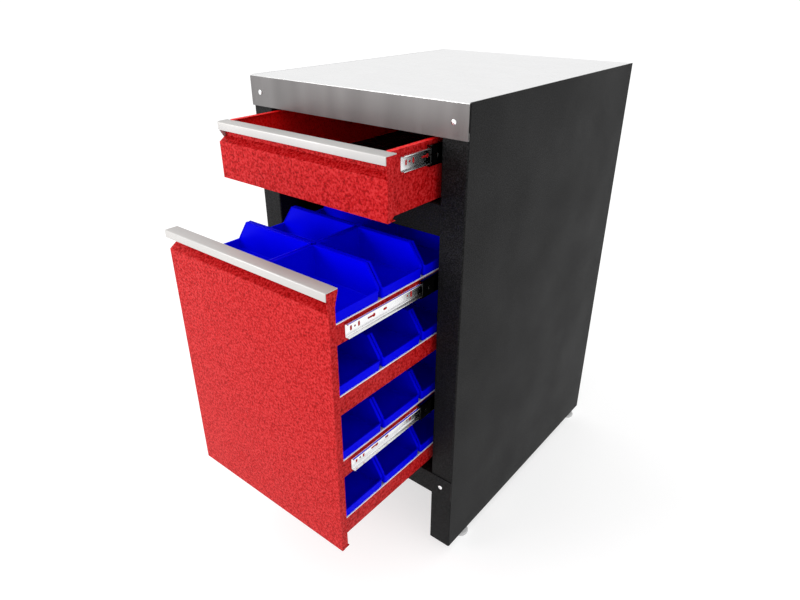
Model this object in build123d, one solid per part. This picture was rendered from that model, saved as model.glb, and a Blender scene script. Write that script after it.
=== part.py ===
from build123d import *
import math
import os

os.makedirs("parts", exist_ok=True)

# Workshop cabinet with one shallow drawer over a tall pull-out of parts bins.
# X runs to the right, Y to the back, Z up from the floor, all in millimetres.
# Each sliding piece is drawn as it lies when shut and is then moved forwards.

# Cabinet
CABINET_WIDTH = 500.0
CABINET_DEPTH = 641.0
PANEL_HEIGHT = 920.0
FOOT_HEIGHT = 25.0
PANEL_SHEET = 1.5
PANEL_BEND = 2.0
STILE_WIDTH = 50.0
STILE_DEPTH = 50.0
STILE_LIP = 16.0

# Worktop
TOP_SHEET = 1.5
TOP_LIP_HEIGHT = 56.0
TOP_LIP_PROUD = 4.0
TOP_BEND = 1.2
BOARD_THICKNESS = 25.0
SHEET_PLAY = 0.3

# Cross rails, base and back
RAIL_SHEET = 1.5
RAIL_HEIGHT = 50.0
RAIL_FLANGE = 22.0
RAIL_BOTTOM = 130.0
TOP_RAIL_FLANGE = 40.0
BASE_SHEET = 1.2
BACK_SHEET = 1.0

# Screws that show on the front
SCREW_HEAD_RADIUS = 4.6
SCREW_HEAD_HEIGHT = 2.2
SCREW_SHANK_RADIUS = 2.4
SCREW_LENGTH = 12.0
SCREW_PLAY = 0.3
SCREW_RIM = 1.2
SCREW_FROM_SIDE = 26.0
TOP_SCREW_DROP = 30.0

# Small round pieces that repeat are drawn with this many sides
ROUND_SIDES = 10
PAD_SIDES = 16

# Feet
FOOT_FROM_SIDE = 18.0
FRONT_FOOT_FROM_FRONT = 72.0
REAR_FOOT_FROM_BACK = 28.0
PAD_RADIUS = 18.0
PAD_HEIGHT = 8.0
PAD_EDGE = 2.5
PAD_COLLAR_RADIUS = 8.0
PAD_COLLAR_HEIGHT = 4.0
STUD_RADIUS = 4.9
STUD_LENGTH = 52.0
STUD_SOCKET = 5.0
FOOT_HEX = 17.0
FOOT_HEX_HEIGHT = 6.0
NUT_HEIGHT = 8.0
FOOT_PLAY = 0.3
BRACKET_SHEET = 2.5
BRACKET_LENGTH = 38.0
BRACKET_FLANGE = 25.0

# How far the two drawers stand open, and how far they can run
TOP_DRAWER_OPEN = 128.0
PULL_OUT_OPEN = 260.0

# Ball-bearing slides
SLIDE_LENGTH = 500.0
SLIDE_SETBACK = 41.0
SLIDE_SHEET = 1.2
INNER_RAIL_HEIGHT = 24.4
INNER_RAIL_DEPTH = 7.6
BALL_GAP = 3.4
MIDDLE_WEB_AT = 3.2
MIDDLE_RAIL_DEPTH = 8.0
FIXED_RAIL_DEPTH = 8.8
RACE_LIP = 1.1
CAGE_SHEET = 1.0
CAGE_WIDTH = 4.2
CAGE_LENGTH = 180.0
CAGE_SETBACK = 150.0
BALL_RADIUS = 1.5
BALL_SIDES = 5
BALL_TAPER = 25.0
BALLS_PER_CAGE = 3
SLIDE_SPACE = 13.0
TOP_SLIDE_DROP = 22.4
SLIDE_ABOVE_BAND = 18.5

# Slots in the slide members; places are measured from a member's end
SLOT_LENGTH = 9.0
SLOT_HEIGHT = 4.4
TALL_SLOT_AT = 12.5
TALL_SLOT_PITCH = 18.0
PILOT_RADIUS = 1.9
KEYHOLE_AT = 58.0
KEYHOLE_LENGTH = 15.0
KEYHOLE_NECK = 3.4
KEYHOLE_EYE = 3.4
SCREW_SLOTS_AT = (92.5, 460.0)
FIXED_SLOT_AT = 60.0
MIDDLE_SLOT_AT = 32.0

# Drawer fronts
FRONT_SIDE_GAP = 3.0
FRONT_SHEET = 1.2
FRONT_BEND = 1.6
FRONT_RETURN = 14.0
FRONT_FOOT_FLANGE = 18.0
FRONT_CORNER_CUT = 8.0
FRONT_EAR = 3.0
GRIP_SETBACK = 15.0
GRIP_HEIGHT = 27.0
SLANT_HEIGHT = 9.5
HANDLE_SHEET = 1.6
HANDLE_BEND = 1.4
HANDLE_PROUD = 4.0
HANDLE_DEPTH = 25.0
HANDLE_LIP = 13.8
HANDLE_CORNER = 9.0
CHEEK_TOE = 4.0
CHEEK_PLAY = 0.6

# Top drawer
TOP_FRONT_DROP = 61.3
TOP_FRONT_HEIGHT = 101.7
TRAY_ABOVE_FRONT = 0.8
TOP_TRAY_HEIGHT = 99.5
TOP_TRAY_LENGTH = 550.0
TRAY_SHEET = 1.2
TRAY_HEM = 9.0
MAT_THICKNESS = 2.0
MAT_MARGIN = 2.0
MAT_RIB_PITCH = 24.0
MAT_RIB_WIDTH = 5.0
MAT_RIB_HEIGHT = 0.8

# Pull-out with four bin trays
PULL_OUT_RAIL_GAP = 3.0
GAP_BETWEEN_FRONTS = 63.0
BIN_TRAYS = 4
LOWEST_TRAY_RISE = 54.5
HIGHEST_TRAY_DROP = 65.7
BIN_TRAY_BAND = 35.3
BIN_TRAY_PLAY = 2.0
LINER_SHEET = 1.5
REAR_PANEL_SHEET = 1.2
REAR_PANEL_RISE = 60.0
REAR_PANEL_FLANGE = 16.0
INNER_FRONT_TOP_GAP = 6.0

# Open-fronted bins
BINS_PER_ROW = 5
BIN_PITCH = 110.0
BIN_RIM_WIDTH = 108.0
BIN_HEIGHT = 58.5
BIN_WALL = 2.0
BIN_RIM = 2.5
BIN_RIM_DEPTH = 3.0
BIN_LIP_HEIGHT = 19.5
BIN_LIP_LEAN = 1.0
BIN_CORNER = 6.0
RIGHT_BIN_DEPTH = 146.0
RIGHT_BIN_SLOPE = 26.0
LEFT_BIN_DEPTH = 198.0
LEFT_BIN_SLOPE = 28.0
BIN_ROW_GAP = 2.0
BIN_SIDE_GAP = 0.3
BIN_FLOOR_GAP = 0.1

# Values that follow from the sizes above
HALF_WIDTH = CABINET_WIDTH / 2
OPENING_HALF = HALF_WIDTH - STILE_WIDTH
PANEL_BOTTOM = FOOT_HEIGHT
CABINET_TOP = PANEL_BOTTOM + PANEL_HEIGHT
FRONT_HALF = OPENING_HALF - FRONT_SIDE_GAP
TRAY_HALF = OPENING_HALF - SLIDE_SPACE
TOP_FRONT_TOP = CABINET_TOP - TOP_FRONT_DROP
TOP_FRONT_BOTTOM = TOP_FRONT_TOP - TOP_FRONT_HEIGHT
TOP_TRAY_TOP = TOP_FRONT_TOP + TRAY_ABOVE_FRONT
TOP_TRAY_BOTTOM = TOP_TRAY_TOP - TOP_TRAY_HEIGHT
PULL_OUT_TOP = TOP_FRONT_BOTTOM - GAP_BETWEEN_FRONTS
PULL_OUT_BOTTOM = PANEL_BOTTOM + RAIL_BOTTOM + RAIL_HEIGHT + PULL_OUT_RAIL_GAP
MIDDLE_HALF = INNER_RAIL_HEIGHT / 2 + BALL_GAP + SLIDE_SHEET
FIXED_HALF = MIDDLE_HALF + BALL_GAP + SLIDE_SHEET
TRAY_FRONT = FRONT_RETURN
TRAY_LENGTH = BINS_PER_ROW * BIN_PITCH + BIN_TRAY_PLAY
TOP_TRAY_FRONT = GRIP_SETBACK + FRONT_SHEET / 2
ORIGIN_Y = (CABINET_DEPTH - PULL_OUT_OPEN - HANDLE_PROUD) / 2


def height(above_panel_bottom):
    """Height above the floor of a level that is measured from the panels' lower edge."""
    return PANEL_BOTTOM + above_panel_bottom


def block(x0, x1, y0, y1, z0, z1):
    """Box between two corners."""
    centre = ((x0 + x1) / 2, (y0 + y1) / 2, (z0 + z1) / 2)
    return Pos(*centre) * Box(abs(x1 - x0), abs(y1 - y0), abs(z1 - z0))


def strip(points, bends, sheet):
    """Section of a bent sheet along a middle line; a bend radius of 0 is a mitred corner."""
    line = [Vector(*point) for point in points]
    runs = [(end - start).normalized() for start, end in zip(line, line[1:])]
    left = []
    right = []
    for index, point in enumerate(line):
        before = runs[max(index - 1, 0)]
        after = runs[min(index, len(runs) - 1)]
        along = (before + after).normalized()
        across = Vector(-along.Y, along.X)
        reach = across * (sheet / 2 / across.dot(Vector(-after.Y, after.X)))
        left.append(point + reach)
        right.append(point - reach)
    if not any(bends):
        return make_face(Polyline(*left, *reversed(right), close=True))
    left_radii = [0]
    right_radii = [0]
    for bend, before, after in zip(bends, runs, runs[1:]):
        lean = math.copysign(sheet / 2, before.cross(after).Z)
        left_radii.append(bend - lean if bend else 0)
        right_radii.append(bend + lean if bend else 0)
    left_radii.append(0)
    right_radii.append(0)
    outline = FilletPolyline(*left, *reversed(right), radius=left_radii + right_radii[::-1], close=True)
    return make_face(outline)


def along_z(points, bends, sheet, z0, z1):
    """Bent sheet whose section lies in plan."""
    return Pos(0, 0, z0) * extrude(strip(points, bends, sheet), amount=z1 - z0, dir=(0, 0, 1))


def along_x(points, bends, sheet, x0, x1):
    """Bent sheet whose section, given as depth and height, lies across X."""
    section = Plane.YZ * strip(points, bends, sheet)
    return Pos(x0, 0, 0) * extrude(section, amount=x1 - x0, dir=(1, 0, 0))


def along_y(points, bends, sheet, y0, y1):
    """Bent sheet whose section, given as width and height, lies across Y."""
    plane = Plane(origin=(0, 0, 0), x_dir=(1, 0, 0), z_dir=(0, -1, 0))
    section = plane * strip(points, bends, sheet)
    return Pos(0, y0, 0) * extrude(section, amount=y1 - y0, dir=(0, 1, 0))


def slab_y(points, y0, y1):
    """Flat outline in width and height, with its thickness along Y."""
    plane = Plane(origin=(0, 0, 0), x_dir=(1, 0, 0), z_dir=(0, -1, 0))
    face = plane * make_face(Polyline(*points, close=True))
    return Pos(0, y0, 0) * extrude(face, amount=y1 - y0, dir=(0, 1, 0))


def slab_x(points, x0, x1):
    """Flat outline in depth and height, with its thickness along X."""
    face = Plane.YZ * make_face(Polyline(*points, close=True))
    return Pos(x0, 0, 0) * extrude(face, amount=x1 - x0, dir=(1, 0, 0))


def bar(radius, length, sides=ROUND_SIDES):
    """Upright bar with flat sides, which stands in for a small round one."""
    return extrude(RegularPolygon(radius, sides), amount=length)


def bar_y(x, y0, y1, z, radius):
    """The same bar lying along Y."""
    return Pos(x, y1, z) * Rot(90, 0, 0) * bar(radius, y1 - y0)


def other_side(shape):
    """The same piece on the left of the cabinet."""
    return mirror(shape, about=Plane.YZ)


def group(shapes):
    """Separate solids that share one node."""
    return Compound([solid for shape in shapes for solid in shape.solids()])


# Cabinet shell


def screw_places():
    """Places of the four screws that show on the front: two levels, left and right."""
    x = HALF_WIDTH - SCREW_FROM_SIDE
    top = CABINET_TOP - TOP_SCREW_DROP
    low = height(RAIL_BOTTOM) + RAIL_HEIGHT / 2
    return [(-x, top), (x, top), (-x, low), (x, low)]


def screw_holes(y0, y1):
    """Clearance holes for the front screws through the sheets between two depths."""
    radius = SCREW_SHANK_RADIUS + SCREW_PLAY
    return [bar_y(x, y0, y1, z, radius) for x, z in screw_places()]


def right_side_panel():
    """Side sheet folded round into a front and a rear stile, each with an inner lip."""
    t = PANEL_SHEET / 2
    inner = OPENING_HALF + t
    outer = HALF_WIDTH - t
    back = CABINET_DEPTH - t
    front_lip = STILE_DEPTH - t
    rear_lip = CABINET_DEPTH - STILE_DEPTH + t
    points = [
        (inner + STILE_LIP, front_lip),
        (inner, front_lip),
        (inner, t),
        (outer, t),
        (outer, back),
        (inner, back),
        (inner, rear_lip),
        (inner + STILE_LIP, rear_lip),
    ]
    bends = [0] + 4 * [PANEL_BEND] + [0]
    panel = along_z(points, bends, PANEL_SHEET, PANEL_BOTTOM, CABINET_TOP)
    plate_under = CABINET_TOP - TOP_SHEET
    panel -= block(0, HALF_WIDTH - PANEL_SHEET, 0, CABINET_DEPTH, plate_under, CABINET_TOP)
    for hole in screw_holes(-1, STILE_DEPTH / 2):
        panel -= hole
    return panel


def worktop_sheet():
    """Steel sheet over the board, with a hemmed lip down the front over the stiles."""
    t = TOP_SHEET / 2
    top = CABINET_TOP - t
    face = -TOP_LIP_PROUD + t
    bottom = CABINET_TOP - TOP_LIP_HEIGHT + t
    half = HALF_WIDTH - PANEL_SHEET - SHEET_PLAY
    plate = block(-half, half, -t, CABINET_DEPTH, CABINET_TOP - TOP_SHEET, CABINET_TOP)
    lip_points = [(0, top), (face, top), (face, bottom), (-t, bottom), (-t, bottom + RAIL_FLANGE / 2)]
    bends = [TOP_BEND, 0, 0]
    lip = along_x(lip_points, bends, TOP_SHEET, -HALF_WIDTH, HALF_WIDTH)
    sheet = plate + lip
    for hole in screw_holes(-TOP_LIP_PROUD - 1, 1):
        sheet -= hole
    return sheet


def worktop_board():
    """Wooden board that the worktop sheet is laid on, between the side panels."""
    half = HALF_WIDTH - PANEL_SHEET - SHEET_PLAY
    top = CABINET_TOP - TOP_SHEET
    back = CABINET_DEPTH - PANEL_SHEET - SHEET_PLAY
    board = block(-half, half, PANEL_SHEET + SHEET_PLAY, back, top - BOARD_THICKNESS, top)
    notch = STILE_DEPTH + SHEET_PLAY
    for y0, y1 in ((0, notch), (CABINET_DEPTH - notch, CABINET_DEPTH)):
        for side in (-1, 1):
            x0 = side * (OPENING_HALF - SHEET_PLAY)
            board -= block(x0, side * HALF_WIDTH, y0, y1, top - BOARD_THICKNESS, top)
    return board


def rail(y_face, inwards, bottom, top, flange, half):
    """Channel-shaped cross rail: its web stands at y_face, its flanges point inwards."""
    t = RAIL_SHEET / 2
    web = y_face + inwards * t
    edge = y_face + inwards * flange
    points = [(edge, bottom + t), (web, bottom + t), (web, top - t), (edge, top - t)]
    return along_x(points, [0, 0], RAIL_SHEET, -half, half)


def top_front_rail():
    """Rail behind the worktop lip that ties the stiles and carries the board's front."""
    top = CABINET_TOP - TOP_SHEET - BOARD_THICKNESS
    bottom = CABINET_TOP - TOP_LIP_HEIGHT + RAIL_SHEET
    return rail(PANEL_SHEET, 1, bottom, top, TOP_RAIL_FLANGE, OPENING_HALF)


def top_rear_rail():
    """Rail at the back that carries the board's rear edge."""
    top = CABINET_TOP - TOP_SHEET - BOARD_THICKNESS
    return rail(CABINET_DEPTH, -1, top - RAIL_HEIGHT, top, TOP_RAIL_FLANGE, OPENING_HALF)


def bottom_front_rail():
    """Rail under the pull-out: its face laps over the stiles and is screwed to them."""
    bottom = height(RAIL_BOTTOM)
    top = bottom + RAIL_HEIGHT
    channel = rail(-RAIL_SHEET, 1, bottom, top, RAIL_FLANGE, OPENING_HALF - SHEET_PLAY)
    face = block(-HALF_WIDTH, HALF_WIDTH, -RAIL_SHEET, 0, bottom, top)
    lapped = channel + face
    for hole in screw_holes(-RAIL_SHEET - 1, 1):
        lapped -= hole
    return lapped


def bottom_rear_rail():
    """Rail at the back that carries the base panel's rear edge."""
    bottom = height(RAIL_BOTTOM)
    return rail(CABINET_DEPTH, -1, bottom, bottom + RAIL_HEIGHT, RAIL_FLANGE, OPENING_HALF)


def front_screws():
    """Pan-head screws through the worktop lip and the bottom rail into the stiles."""
    screws = []
    for x, z in screw_places():
        seat = -TOP_LIP_PROUD if z > CABINET_TOP / 2 else -RAIL_SHEET
        head = bar_y(x, seat - SCREW_HEAD_HEIGHT, seat, z, SCREW_HEAD_RADIUS)
        rim = head.faces().sort_by(Axis.Y)[0].edges()
        head = chamfer(rim, SCREW_RIM)
        screws.append(head + bar_y(x, seat, seat + SCREW_LENGTH, z, SCREW_SHANK_RADIUS))
    return group(screws)


def base_panel():
    """Sheet floor of the cabinet, turned down at its sides, on the bottom rails."""
    t = BASE_SHEET / 2
    half = OPENING_HALF - SHEET_PLAY - t
    level = height(RAIL_BOTTOM) + RAIL_SHEET + t
    edge = level - RAIL_SHEET - RAIL_FLANGE
    points = [(-half, edge), (-half, level), (half, level), (half, edge)]
    front = RAIL_SHEET
    panel = along_y(points, [0, 0], BASE_SHEET, front, CABINET_DEPTH - 2 * RAIL_SHEET)
    reach = RAIL_FLANGE + SHEET_PLAY
    for y0, y1 in ((-1, reach), (CABINET_DEPTH - reach, CABINET_DEPTH)):
        panel -= block(-HALF_WIDTH, HALF_WIDTH, y0, y1, edge - 1, level - t)
    return panel


def back_panel():
    """Sheet back, set in between the rear stiles and the rails."""
    face = CABINET_DEPTH - PANEL_SHEET
    bottom = height(RAIL_BOTTOM) + RAIL_HEIGHT + SHEET_PLAY
    top = CABINET_TOP - TOP_SHEET - BOARD_THICKNESS - RAIL_HEIGHT - SHEET_PLAY
    inner = OPENING_HALF - SHEET_PLAY
    return block(-inner, inner, face, face + BACK_SHEET, bottom, top)


def right_slide_carrier(z):
    """Horizontal channel between the stiles' lips that one slide is fixed to."""
    t = PANEL_SHEET / 2
    web = OPENING_HALF + t
    edge = web + RAIL_FLANGE
    half = FIXED_HALF + PANEL_SHEET
    points = [(edge, z - half), (web, z - half), (web, z + half), (edge, z + half)]
    end = STILE_DEPTH + SHEET_PLAY
    return along_y(points, [0, 0], PANEL_SHEET, end, CABINET_DEPTH - end)


def foot_places():
    """Plan places of the four feet, by name."""
    x = HALF_WIDTH - FOOT_FROM_SIDE
    front = FRONT_FOOT_FROM_FRONT
    rear = CABINET_DEPTH - REAR_FOOT_FROM_BACK
    return {
        "front_left_foot": (-x, front),
        "front_right_foot": (x, front),
        "rear_left_foot": (-x, rear),
        "rear_right_foot": (x, rear),
    }


def foot_bracket(x, y):
    """Angle welded inside the side panel, with a hole for the foot's stud."""
    t = BRACKET_SHEET / 2
    side = 1 if x > 0 else -1
    wall = side * (HALF_WIDTH - PANEL_SHEET - t)
    inner = side * (OPENING_HALF + PANEL_SHEET + SHEET_PLAY)
    level = PANEL_BOTTOM + t
    points = [(inner, level), (wall, level), (wall, level + BRACKET_FLANGE)]
    bracket = along_y(points, [0], BRACKET_SHEET, y - BRACKET_LENGTH / 2, y + BRACKET_LENGTH / 2)
    bore = Pos(x, y, PANEL_BOTTOM) * bar(STUD_RADIUS + FOOT_PLAY, BRACKET_SHEET)
    return bracket - bore


def foot_nut(x, y):
    """Hexagon nut welded on top of the bracket."""
    outline = RegularPolygon(FOOT_HEX / 2, 6, major_radius=False)
    nut = extrude(outline, amount=NUT_HEIGHT) - bar(STUD_RADIUS + FOOT_PLAY, NUT_HEIGHT)
    return Pos(x, y, PANEL_BOTTOM + BRACKET_SHEET) * nut


def foot(x, y):
    """Levelling foot: a moulded pad, and a threaded stud with a spanner hexagon."""
    pad = bar(PAD_RADIUS, PAD_HEIGHT, PAD_SIDES)
    pad = chamfer(pad.faces().sort_by(Axis.Z)[-1].edges(), PAD_EDGE)
    collar_top = PAD_HEIGHT + PAD_COLLAR_HEIGHT
    pad += bar(PAD_COLLAR_RADIUS, collar_top)
    stud = Pos(0, 0, collar_top - STUD_SOCKET) * bar(STUD_RADIUS, STUD_LENGTH)
    pad -= stud
    outline = RegularPolygon(FOOT_HEX / 2, 6, major_radius=False)
    stud += Pos(0, 0, collar_top) * extrude(outline, amount=FOOT_HEX_HEIGHT)
    return Pos(x, y, 0) * group([pad, stud])


# Slides, drawn on the right of the cabinet and shut


def slide_heights():
    """Middle heights of the three pairs of slides: top drawer, upper and lower pull-out."""
    upper_tray = tray_tops()[0] - BIN_TRAY_BAND
    lower_tray = tray_tops()[2] - BIN_TRAY_BAND
    upper = upper_tray + SLIDE_ABOVE_BAND
    lower = lower_tray + SLIDE_ABOVE_BAND
    return TOP_TRAY_TOP - TOP_SLIDE_DROP, upper, lower


def channel_rail(web_x, edge_x, half, z, lip):
    """Slide member: a web, two flanges, and race lips that point up and down."""
    t = SLIDE_SHEET / 2
    level = half - t
    turn = level + lip
    points = [
        (edge_x, z - turn),
        (edge_x, z - level),
        (web_x, z - level),
        (web_x, z + level),
        (edge_x, z + level),
        (edge_x, z + turn),
    ]
    y1 = SLIDE_SETBACK + SLIDE_LENGTH
    return along_y(points, 4 * [0], SLIDE_SHEET, SLIDE_SETBACK, y1)


def rail_slot(x, distance, length, tall, z):
    """Cutter for a slot through the web of a member, at a distance from its front end."""
    y = SLIDE_SETBACK + distance
    reach = 2 * SLIDE_SHEET
    return block(x - reach, x + reach, y - length / 2, y + length / 2, z - tall / 2, z + tall / 2)


def rail_hole(x, distance, radius, z):
    """Cutter for a round hole through the web."""
    y = SLIDE_SETBACK + distance
    reach = 2 * SLIDE_SHEET
    return Pos(x - reach, y, z) * Rot(0, 90, 0) * bar(radius, 2 * reach)


def fixed_rail(z):
    """Member screwed to the carrier; its races hold the middle member."""
    t = SLIDE_SHEET / 2
    web = OPENING_HALF - t
    edge = OPENING_HALF - FIXED_RAIL_DEPTH
    member = channel_rail(web, edge, FIXED_HALF, z, -RACE_LIP - t)
    for distance in (FIXED_SLOT_AT, SLIDE_LENGTH / 2, SLIDE_LENGTH - FIXED_SLOT_AT):
        member -= rail_slot(web, distance, SLOT_LENGTH, SLOT_HEIGHT, z)
    return member


def middle_rail(z):
    """Member between the other two, with races outside and inside its flanges."""
    t = SLIDE_SHEET / 2
    web = OPENING_HALF - MIDDLE_WEB_AT - t
    edge = OPENING_HALF - MIDDLE_WEB_AT - MIDDLE_RAIL_DEPTH
    member = channel_rail(web, edge, MIDDLE_HALF, z, -RACE_LIP - t)
    for distance in (MIDDLE_SLOT_AT, SLIDE_LENGTH - MIDDLE_SLOT_AT):
        member -= rail_slot(web, distance, SLOT_LENGTH, SLOT_HEIGHT, z)
    return member


def sliding_rail(z):
    """Member fixed to the drawer, with its tall slots, pilot hole, keyhole and long slots."""
    web = TRAY_HALF + SLIDE_SHEET / 2
    edge = TRAY_HALF + INNER_RAIL_DEPTH
    member = channel_rail(web, edge, INNER_RAIL_HEIGHT / 2, z, RACE_LIP)
    for distance in (TALL_SLOT_AT, TALL_SLOT_AT + TALL_SLOT_PITCH):
        member -= rail_slot(web, distance, SLOT_HEIGHT, SLOT_LENGTH, z)
    member -= rail_hole(web, TALL_SLOT_AT + TALL_SLOT_PITCH / 2, PILOT_RADIUS, z)
    member -= rail_slot(web, KEYHOLE_AT, KEYHOLE_LENGTH, KEYHOLE_NECK, z)
    member -= rail_hole(web, KEYHOLE_AT + KEYHOLE_LENGTH / 2, KEYHOLE_EYE, z)
    for distance in SCREW_SLOTS_AT:
        member -= rail_slot(web, distance, SLOT_LENGTH, SLOT_HEIGHT, z)
    return member


def ball():
    """Ball with flat sides that taper up and down from its middle at the origin."""
    outline = RegularPolygon(BALL_RADIUS, BALL_SIDES)
    return extrude(outline, amount=BALL_RADIUS, both=True, taper=BALL_TAPER)


def ball_cage(x, radius_from_middle, z):
    """Two strips, above and below, each with the balls that it holds."""
    strips = []
    y0 = SLIDE_SETBACK + CAGE_SETBACK
    step = CAGE_LENGTH / BALLS_PER_CAGE
    half = CAGE_WIDTH / 2
    for way in (-1, 1):
        level = z + way * radius_from_middle
        under = level - CAGE_SHEET / 2
        cage = block(x - half, x + half, y0, y0 + CAGE_LENGTH, under, under + CAGE_SHEET)
        for index in range(BALLS_PER_CAGE):
            cage += Pos(x, y0 + step * (index + 0.5), level) * ball()
        strips.append(cage)
    return group(strips)


def outer_cage(z):
    """Cage between the fixed and the middle member."""
    x = OPENING_HALF - (MIDDLE_WEB_AT + FIXED_RAIL_DEPTH - SLIDE_SHEET) / 2
    return ball_cage(x, MIDDLE_HALF + BALL_GAP / 2, z)


def inner_cage(z):
    """Cage between the middle and the sliding member."""
    near = OPENING_HALF - MIDDLE_WEB_AT - SLIDE_SHEET
    far = OPENING_HALF - MIDDLE_WEB_AT - MIDDLE_RAIL_DEPTH + SLIDE_SHEET
    return ball_cage((near + far) / 2, INNER_RAIL_HEIGHT / 2 + BALL_GAP / 2, z)


# Drawer fronts and handles, drawn shut


def drawer_front(bottom, top):
    """Folded front: face, slant and recessed grip strip, with a plate welded in each end.

    The right plate closes the end of the recess, and the left one leaves it open.
    """
    t = FRONT_SHEET / 2
    seat = top - HANDLE_SHEET
    slant_top = top - GRIP_HEIGHT
    slant_bottom = slant_top - SLANT_HEIGHT
    ledge = HANDLE_DEPTH - HANDLE_PROUD
    fold = [
        (FRONT_FOOT_FLANGE, bottom + t),
        (t, bottom + t),
        (t, slant_bottom),
        (GRIP_SETBACK, slant_top),
        (GRIP_SETBACK, seat),
    ]
    half = FRONT_HALF
    front = along_x(fold, [0, FRONT_BEND, FRONT_BEND], FRONT_SHEET, -half + t, half - t)
    lip_back = -HANDLE_PROUD + HANDLE_SHEET
    open_plate = [
        (0, slant_bottom),
        (0, bottom),
        (FRONT_RETURN - FRONT_CORNER_CUT, bottom),
        (FRONT_RETURN, bottom + FRONT_CORNER_CUT),
        (FRONT_RETURN, slant_top),
    ]
    closed_plate = open_plate + [
        (ledge, seat - FRONT_EAR),
        (ledge, seat),
        (lip_back + HANDLE_BEND, seat),
        (lip_back, seat - HANDLE_BEND),
        (lip_back, top - HANDLE_LIP),
    ]
    front += slab_x(open_plate, -half, -half + FRONT_SHEET)
    front += slab_x(closed_plate, half - FRONT_SHEET, half)
    return front


def drawer_handle(top):
    """Aluminium angle laid over the grip strip, its lip turned down at the front."""
    t = HANDLE_SHEET / 2
    back = HANDLE_DEPTH - HANDLE_PROUD
    lip = -HANDLE_PROUD + t
    points = [(back, top - t), (lip, top - t), (lip, top - HANDLE_LIP)]
    return along_x(points, [HANDLE_BEND], HANDLE_SHEET, -FRONT_HALF, FRONT_HALF)


def handle_plan(inset, right, back):
    """Plan of the handle with its left front corner rounded, moved in by an inset."""
    left = -FRONT_HALF + inset
    front = -HANDLE_PROUD + inset
    outline = [(left, back), (left, front), (right, front), (right, back)]
    return make_face(FilletPolyline(*outline, radius=[0, HANDLE_CORNER - inset, 0, 0], close=True))


def closed_end_handle(top):
    """The same angle with its lip carried round the left corner, to close the recess there."""
    back = HANDLE_DEPTH - HANDLE_PROUD
    seat = top - HANDLE_SHEET
    low = top - GRIP_HEIGHT - SLANT_HEIGHT
    outer = Pos(0, 0, low) * extrude(handle_plan(0, FRONT_HALF, back), amount=top - low)
    rim = outer.edges().group_by(Axis.Z)[-1].sort_by(Axis.Y)[:-1].sort_by(Axis.X)[:-1]
    outer = fillet(rim, HANDLE_BEND + HANDLE_SHEET / 2)
    hollow = extrude(handle_plan(HANDLE_SHEET, FRONT_HALF + 1, back + 1), amount=seat - low)
    shell = outer - Pos(0, 0, low) * hollow
    cheek_back = GRIP_SETBACK - FRONT_SHEET / 2 - CHEEK_PLAY
    toe = cheek_back - CHEEK_TOE
    under = [
        (-HANDLE_PROUD - 1, low - 1),
        (-HANDLE_PROUD - 1, top - HANDLE_LIP),
        (0, top - HANDLE_LIP),
        (toe, over_slant(top, toe)),
        (cheek_back, over_slant(top, cheek_back)),
        (cheek_back, seat),
        (back + 1, seat),
        (back + 1, low - 1),
    ]
    return shell - slab_x(under, -FRONT_HALF - 1, FRONT_HALF + 1)


def over_slant(top, y):
    """Level just clear of the slant of the front at a depth."""
    middle = top - GRIP_HEIGHT - (GRIP_SETBACK - y) * SLANT_HEIGHT / GRIP_SETBACK
    return middle + FRONT_SHEET / 2 + CHEEK_PLAY


# Top drawer


def top_drawer_tray():
    """Open steel box: floor and sides folded from one sheet, with hemmed top edges."""
    t = TRAY_SHEET / 2
    half = TRAY_HALF - t
    floor = TOP_TRAY_BOTTOM + t
    rim = TOP_TRAY_TOP - t
    y0 = TOP_TRAY_FRONT
    y1 = y0 + TOP_TRAY_LENGTH
    points = [
        (-half + TRAY_HEM, rim),
        (-half, rim),
        (-half, floor),
        (half, floor),
        (half, rim),
        (half - TRAY_HEM, rim),
    ]
    tray = along_y(points, 4 * [0], TRAY_SHEET, y0, y1)
    grip_ledge = HANDLE_DEPTH - HANDLE_PROUD + SHEET_PLAY
    handle_under = TOP_FRONT_TOP - HANDLE_SHEET - SHEET_PLAY
    tray -= block(-HALF_WIDTH, HALF_WIDTH, y0 - 1, grip_ledge, handle_under, rim + 2)
    front_wall = block(-half, half, y0, y0 + TRAY_SHEET, floor, handle_under)
    back_wall = block(-half, half, y1 - TRAY_SHEET, y1, floor, rim - 3 * TRAY_SHEET)
    return tray + front_wall + back_wall


def top_drawer_mat():
    """Ribbed rubber mat on the drawer floor."""
    inner = TRAY_HALF - TRAY_SHEET - MAT_MARGIN
    y0 = TOP_TRAY_FRONT + TRAY_SHEET + MAT_MARGIN
    y1 = TOP_TRAY_FRONT + TOP_TRAY_LENGTH - TRAY_SHEET - MAT_MARGIN
    z0 = TOP_TRAY_BOTTOM + TRAY_SHEET
    z1 = z0 + MAT_THICKNESS - MAT_RIB_HEIGHT
    mat = block(-inner, inner, y0, y1, z0, z1)
    count = int(2 * inner / MAT_RIB_PITCH)
    start = -(count - 1) * MAT_RIB_PITCH / 2
    for index in range(count):
        x = start + index * MAT_RIB_PITCH
        mat += block(x - MAT_RIB_WIDTH / 2, x + MAT_RIB_WIDTH / 2, y0, y1, z1, z1 + MAT_RIB_HEIGHT)
    return mat


# Pull-out


def tray_tops():
    """Heights of the tops of the four tray frames, from the highest down."""
    lowest = PULL_OUT_BOTTOM + LOWEST_TRAY_RISE
    pitch = (PULL_OUT_TOP - HIGHEST_TRAY_DROP - lowest) / (BIN_TRAYS - 1)
    return [lowest + pitch * index for index in reversed(range(BIN_TRAYS))]


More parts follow.
